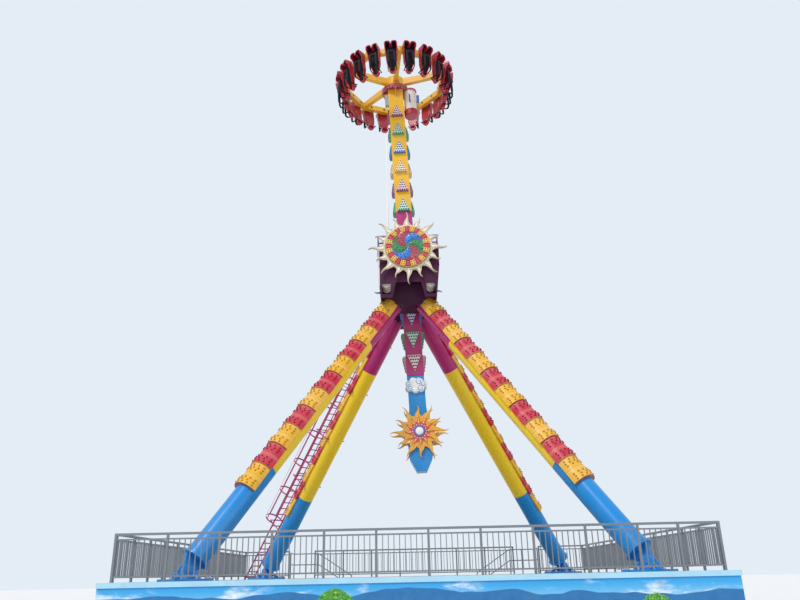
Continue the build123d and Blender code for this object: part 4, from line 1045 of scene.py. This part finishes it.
def swelled(bm, look):
    # an even grid over the shape, drawn in a little, then swelled by cloth with air in it and capped
    bmesh.ops.recalc_face_normals(bm, faces=bm.faces[:])
    pad = added("padShape", template(bm, "padShape"))
    grid = pad.modifiers.new("grid", "REMESH")
    grid.mode = "VOXEL"
    grid.voxel_size = look["voxel"]
    graph = bpy.context.evaluated_depsgraph_get()
    pad.data = bpy.data.meshes.new_from_object(pad.evaluated_get(graph))
    pad.modifiers.clear()
    shape = bmesh.new()
    shape.from_mesh(pad.data)
    for spot, way in [(v, v.normal.copy()) for v in shape.verts]:
        spot.co -= way * look["drawnIn"]
    shape.to_mesh(pad.data)
    frames = 20
    cloth = pad.modifiers.new("cloth", "CLOTH")
    cloth.settings.use_pressure = True
    cloth.settings.uniform_pressure_force = look["pressure"]
    cloth.settings.effector_weights.gravity = 0.0
    cloth.point_cache.frame_start = 1
    cloth.point_cache.frame_end = frames
    for step in range(1, frames + 1):
        bpy.context.scene.frame_set(step)
    graph = bpy.context.evaluated_depsgraph_get()
    blown = pad.evaluated_get(graph).data
    for spot, new in zip(shape.verts, blown.vertices):
        move = Vector([m * g for m, g in zip(new.co - spot.co, look["give"])])
        if move.length > look["cap"]:
            move *= look["cap"] / move.length
        spot.co += move
    bpy.context.scene.frame_set(1)
    bpy.data.objects.remove(pad)
    for _ in range(look["smooths"]):
        bmesh.ops.smooth_vert(
            shape, verts=shape.verts[:], factor=0.5, use_axis_x=True, use_axis_y=True, use_axis_z=True
        )
    shape.normal_update()
    return shape


def onSeats(shape, name, finish, body, covers=None):
    # the shape as a piece of its own on every seat; one that covers a CAD piece is a soft pad
    mould = template(shape)
    for number in range(ride["seats"]):
        tag = f"{number + 1:02d}"
        bm = bmesh.new()
        stamp(bm, mould, seatPlace(number))
        made = finished(f"{name}_{tag}", bm, finish, body.format(tag), angle=0 if covers else 40.0)
        if covers:
            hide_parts(covers.format(tag))


def cushionShape():
    # the seat's whole pad: swelled, laid against its shell, then quilted
    look = {
        "low": (-0.3, -0.32, -1.3), "high": (0.4, 0.32, 0.2), "voxel": 0.013, "drawnIn": 0.005, "pressure": 4.0,
        "cap": 0.014, "give": (1.0, 0.4, 0.7), "smooths": 2, "rest": 0.042, "pan": 0.107,
        "rows": (-0.15, -0.31, -0.47, -0.63, -0.79, -0.93), "panRows": (0.1, 0.19), "bolster": 0.62,
        "groove": 0.011, "deep": 0.012, "recline": 0.210 / 1.350, "foot": 0.15,
        "widths": [(0.0, 0.243), (-0.7, 0.193), (-0.99, 0.108)],
    }
    pad = swelled(lifted("seat_cushions", seatPlace(0), look["low"], look["high"]), look)

    def dent(gaps):
        return max([0.0] + [math.exp(-(gap / look["groove"]) ** 2) for gap in gaps])

    pressed = []
    for v in pad.verts:
        x, y, z = v.co
        line = -look["recline"] * (look["foot"] - z) + look["rest"]
        seam = through(min(max(z, -0.99), 0.0), look["widths"]) * look["bolster"]
        if v.normal.x > 0.25 and z < 0.03:
            rows = [z - row for row in look["rows"]] if abs(y) < seam else []
            sides = [abs(y) - seam] if z > -0.95 else []
            pressed.append((v, Vector((-look["deep"] * dent(rows + sides), 0, 0))))
        elif v.normal.z < -0.4 and x > 0.02 and z > 0.0:
            deep = look["deep"] * 0.8 * dent([x - row for row in look["panRows"]])
            pressed.append((v, Vector((0, 0, deep))))
        v.co.x = max(x, line + 0.0005)
        v.co.z = min(z, look["pan"])
    for v, move in pressed:
        v.co += move
    return pad


def harnessShape():
    # two moulded arms from the pin over the shoulders, a pad down each side of the chest and a bar across
    look = {
        "voxel": 0.012, "drawnIn": 0.002, "pressure": 2.0, "cap": 0.005, "give": (0.7, 0.7, 0.7), "smooths": 3,
        "arm": [
            (-0.262, 0.182, -0.998, 0.017, 0.040), (-0.150, 0.182, -0.998, 0.017, 0.040),
            (-0.020, 0.181, -0.998, 0.018, 0.041), (0.085, 0.178, -0.992, 0.021, 0.043),
            (0.150, 0.172, -0.962, 0.028, 0.046), (0.193, 0.158, -0.915, 0.040, 0.046),
            (0.207, 0.143, -0.850, 0.055, 0.044), (0.209, 0.137, -0.760, 0.062, 0.044),
            (0.209, 0.136, -0.620, 0.063, 0.044), (0.209, 0.136, -0.480, 0.062, 0.044),
            (0.209, 0.136, -0.400, 0.060, 0.043), (0.209, 0.136, -0.330, 0.056, 0.040),
        ],
        "bar": [
            (-0.188, 0.030, 0.040), (-0.165, 0.040, 0.058), (-0.10, 0.044, 0.068), (0.0, 0.044, 0.069),
            (0.10, 0.044, 0.068), (0.165, 0.040, 0.058), (0.188, 0.030, 0.040),
        ],
        "barAt": (0.209, -0.332), "sides": 14,
    }
    bm = bmesh.new()
    for hand in (-1, 1):
        spots = [Vector((x, y * hand, z)) for x, y, z, _, _ in look["arm"]]
        stations = []
        for i, (spot, row) in enumerate(zip(spots, look["arm"])):
            way = spots[min(i + 1, len(spots) - 1)] - spots[max(i - 1, 0)]
            stations.append(station(spot, way, row[3], row[4], way.cross(Vector((0, 1, 0)))))
        sweep(bm, stations, look["sides"])
    x, z = look["barAt"]
    sweep(bm, [station((x, y, z), (0, 1, 0), deep, high) for y, deep, high in look["bar"]], look["sides"])
    return swelled(bm, look)


def pinShape():
    # a pin through the pair of arms, with a washer and a domed nut at each end
    look = {"x": -0.246, "z": -1.0, "half": 0.214}
    sizes = [(1.0, 0.004), (0.985, 0.022), (0.965, 0.024), (0.96, 0.014)]
    line = [(-share, size) for share, size in sizes] + sizes[::-1]
    bm = bmesh.new()
    sweep(bm, [station((look["x"], look["half"] * s, look["z"]), (0, 1, 0), size, size) for s, size in line])
    return bm


onSeats(cushionShape(), "seatPad", cushionVinyl, "gondola", "seat_cushions")
onSeats(harnessShape(), "shoulderPad", harnessFoam, "restraint_{}", "harness_{}")
onSeats(pinShape(), "restraintPin", galvanised, "restraint_{}")

print("stage")
paleFloor = Finish("paleFloor")
paleFloor.cover(paleFloor.mix(paleFloor.grain(0.4, 3.0).between(0.3, 0.8) * 0.2, "eceef0", "e2e5e8"), 0.8)
disc = bmesh.new()
bmesh.ops.create_circle(disc, cap_ends=True, segments=64, radius=160.0)
bmesh.ops.translate(disc, vec=(0, 0, -0.002), verts=disc.verts[:])
floor = added("floor", template(disc, "floor"), paleFloor)

# the world lights the ride evenly, and shows a pale sky to the camera, in reflections and through glass
studio = {
    "light": 0.62, "seen": "e4edf6",
    "suns": {"keySun": (1.75, (-0.55, -0.85, 1.15), 14.0), "fillSun": (0.35, (0.8, -0.5, 0.25), 40.0)},
}
world = bpy.data.worlds.new("studio")
bpy.context.scene.world = world
world.use_nodes = True
sky = Nodes(world.node_tree)
straight, glossy, clear = (sky.node("LightPath", out=f"Is {k} Ray") for k in ("Camera", "Glossy", "Transmission"))
lit = (studio["light"], studio["light"], studio["light"] * 1.02, 1)
shown = sky.mix(straight.most(glossy).most(clear), lit, studio["seen"])
sky.feed(sky.tree.nodes["Background"].inputs["Color"], shown)

for name, (energy, way, soft) in studio["suns"].items():
    data = bpy.data.lights.new(name, "SUN")
    data.energy = energy
    data.angle = math.radians(soft)
    sun = added(name, data)
    sun.rotation_mode = "QUATERNION"
    sun.rotation_quaternion = Vector(way).to_track_quat("Z", "Y")

# the photograph's camera; its focal length is in the photograph's pixels, 800 across
view = {"at": (-0.185, -27.755, 1.33), "pitch": 20.8, "yaw": -0.35, "roll": -1.19, "focal": 725.4, "across": 800}
cameraData = bpy.data.cameras.new("photoView")
cameraData.sensor_width = 36.0
cameraData.lens = view["focal"] / view["across"] * cameraData.sensor_width
cameraData.clip_end = 500.0
camera = added("photoView", cameraData)
pitched = Matrix.Rotation(math.radians(90 + view["pitch"]), 4, "X")
aimed = spun(math.radians(-view["yaw"])) @ pitched @ spun(math.radians(view["roll"]))
camera.matrix_world = Matrix.Translation(view["at"]) @ aimed
bpy.context.scene.camera = camera

bpy.context.scene.view_settings.view_transform = "Standard"

print("done")
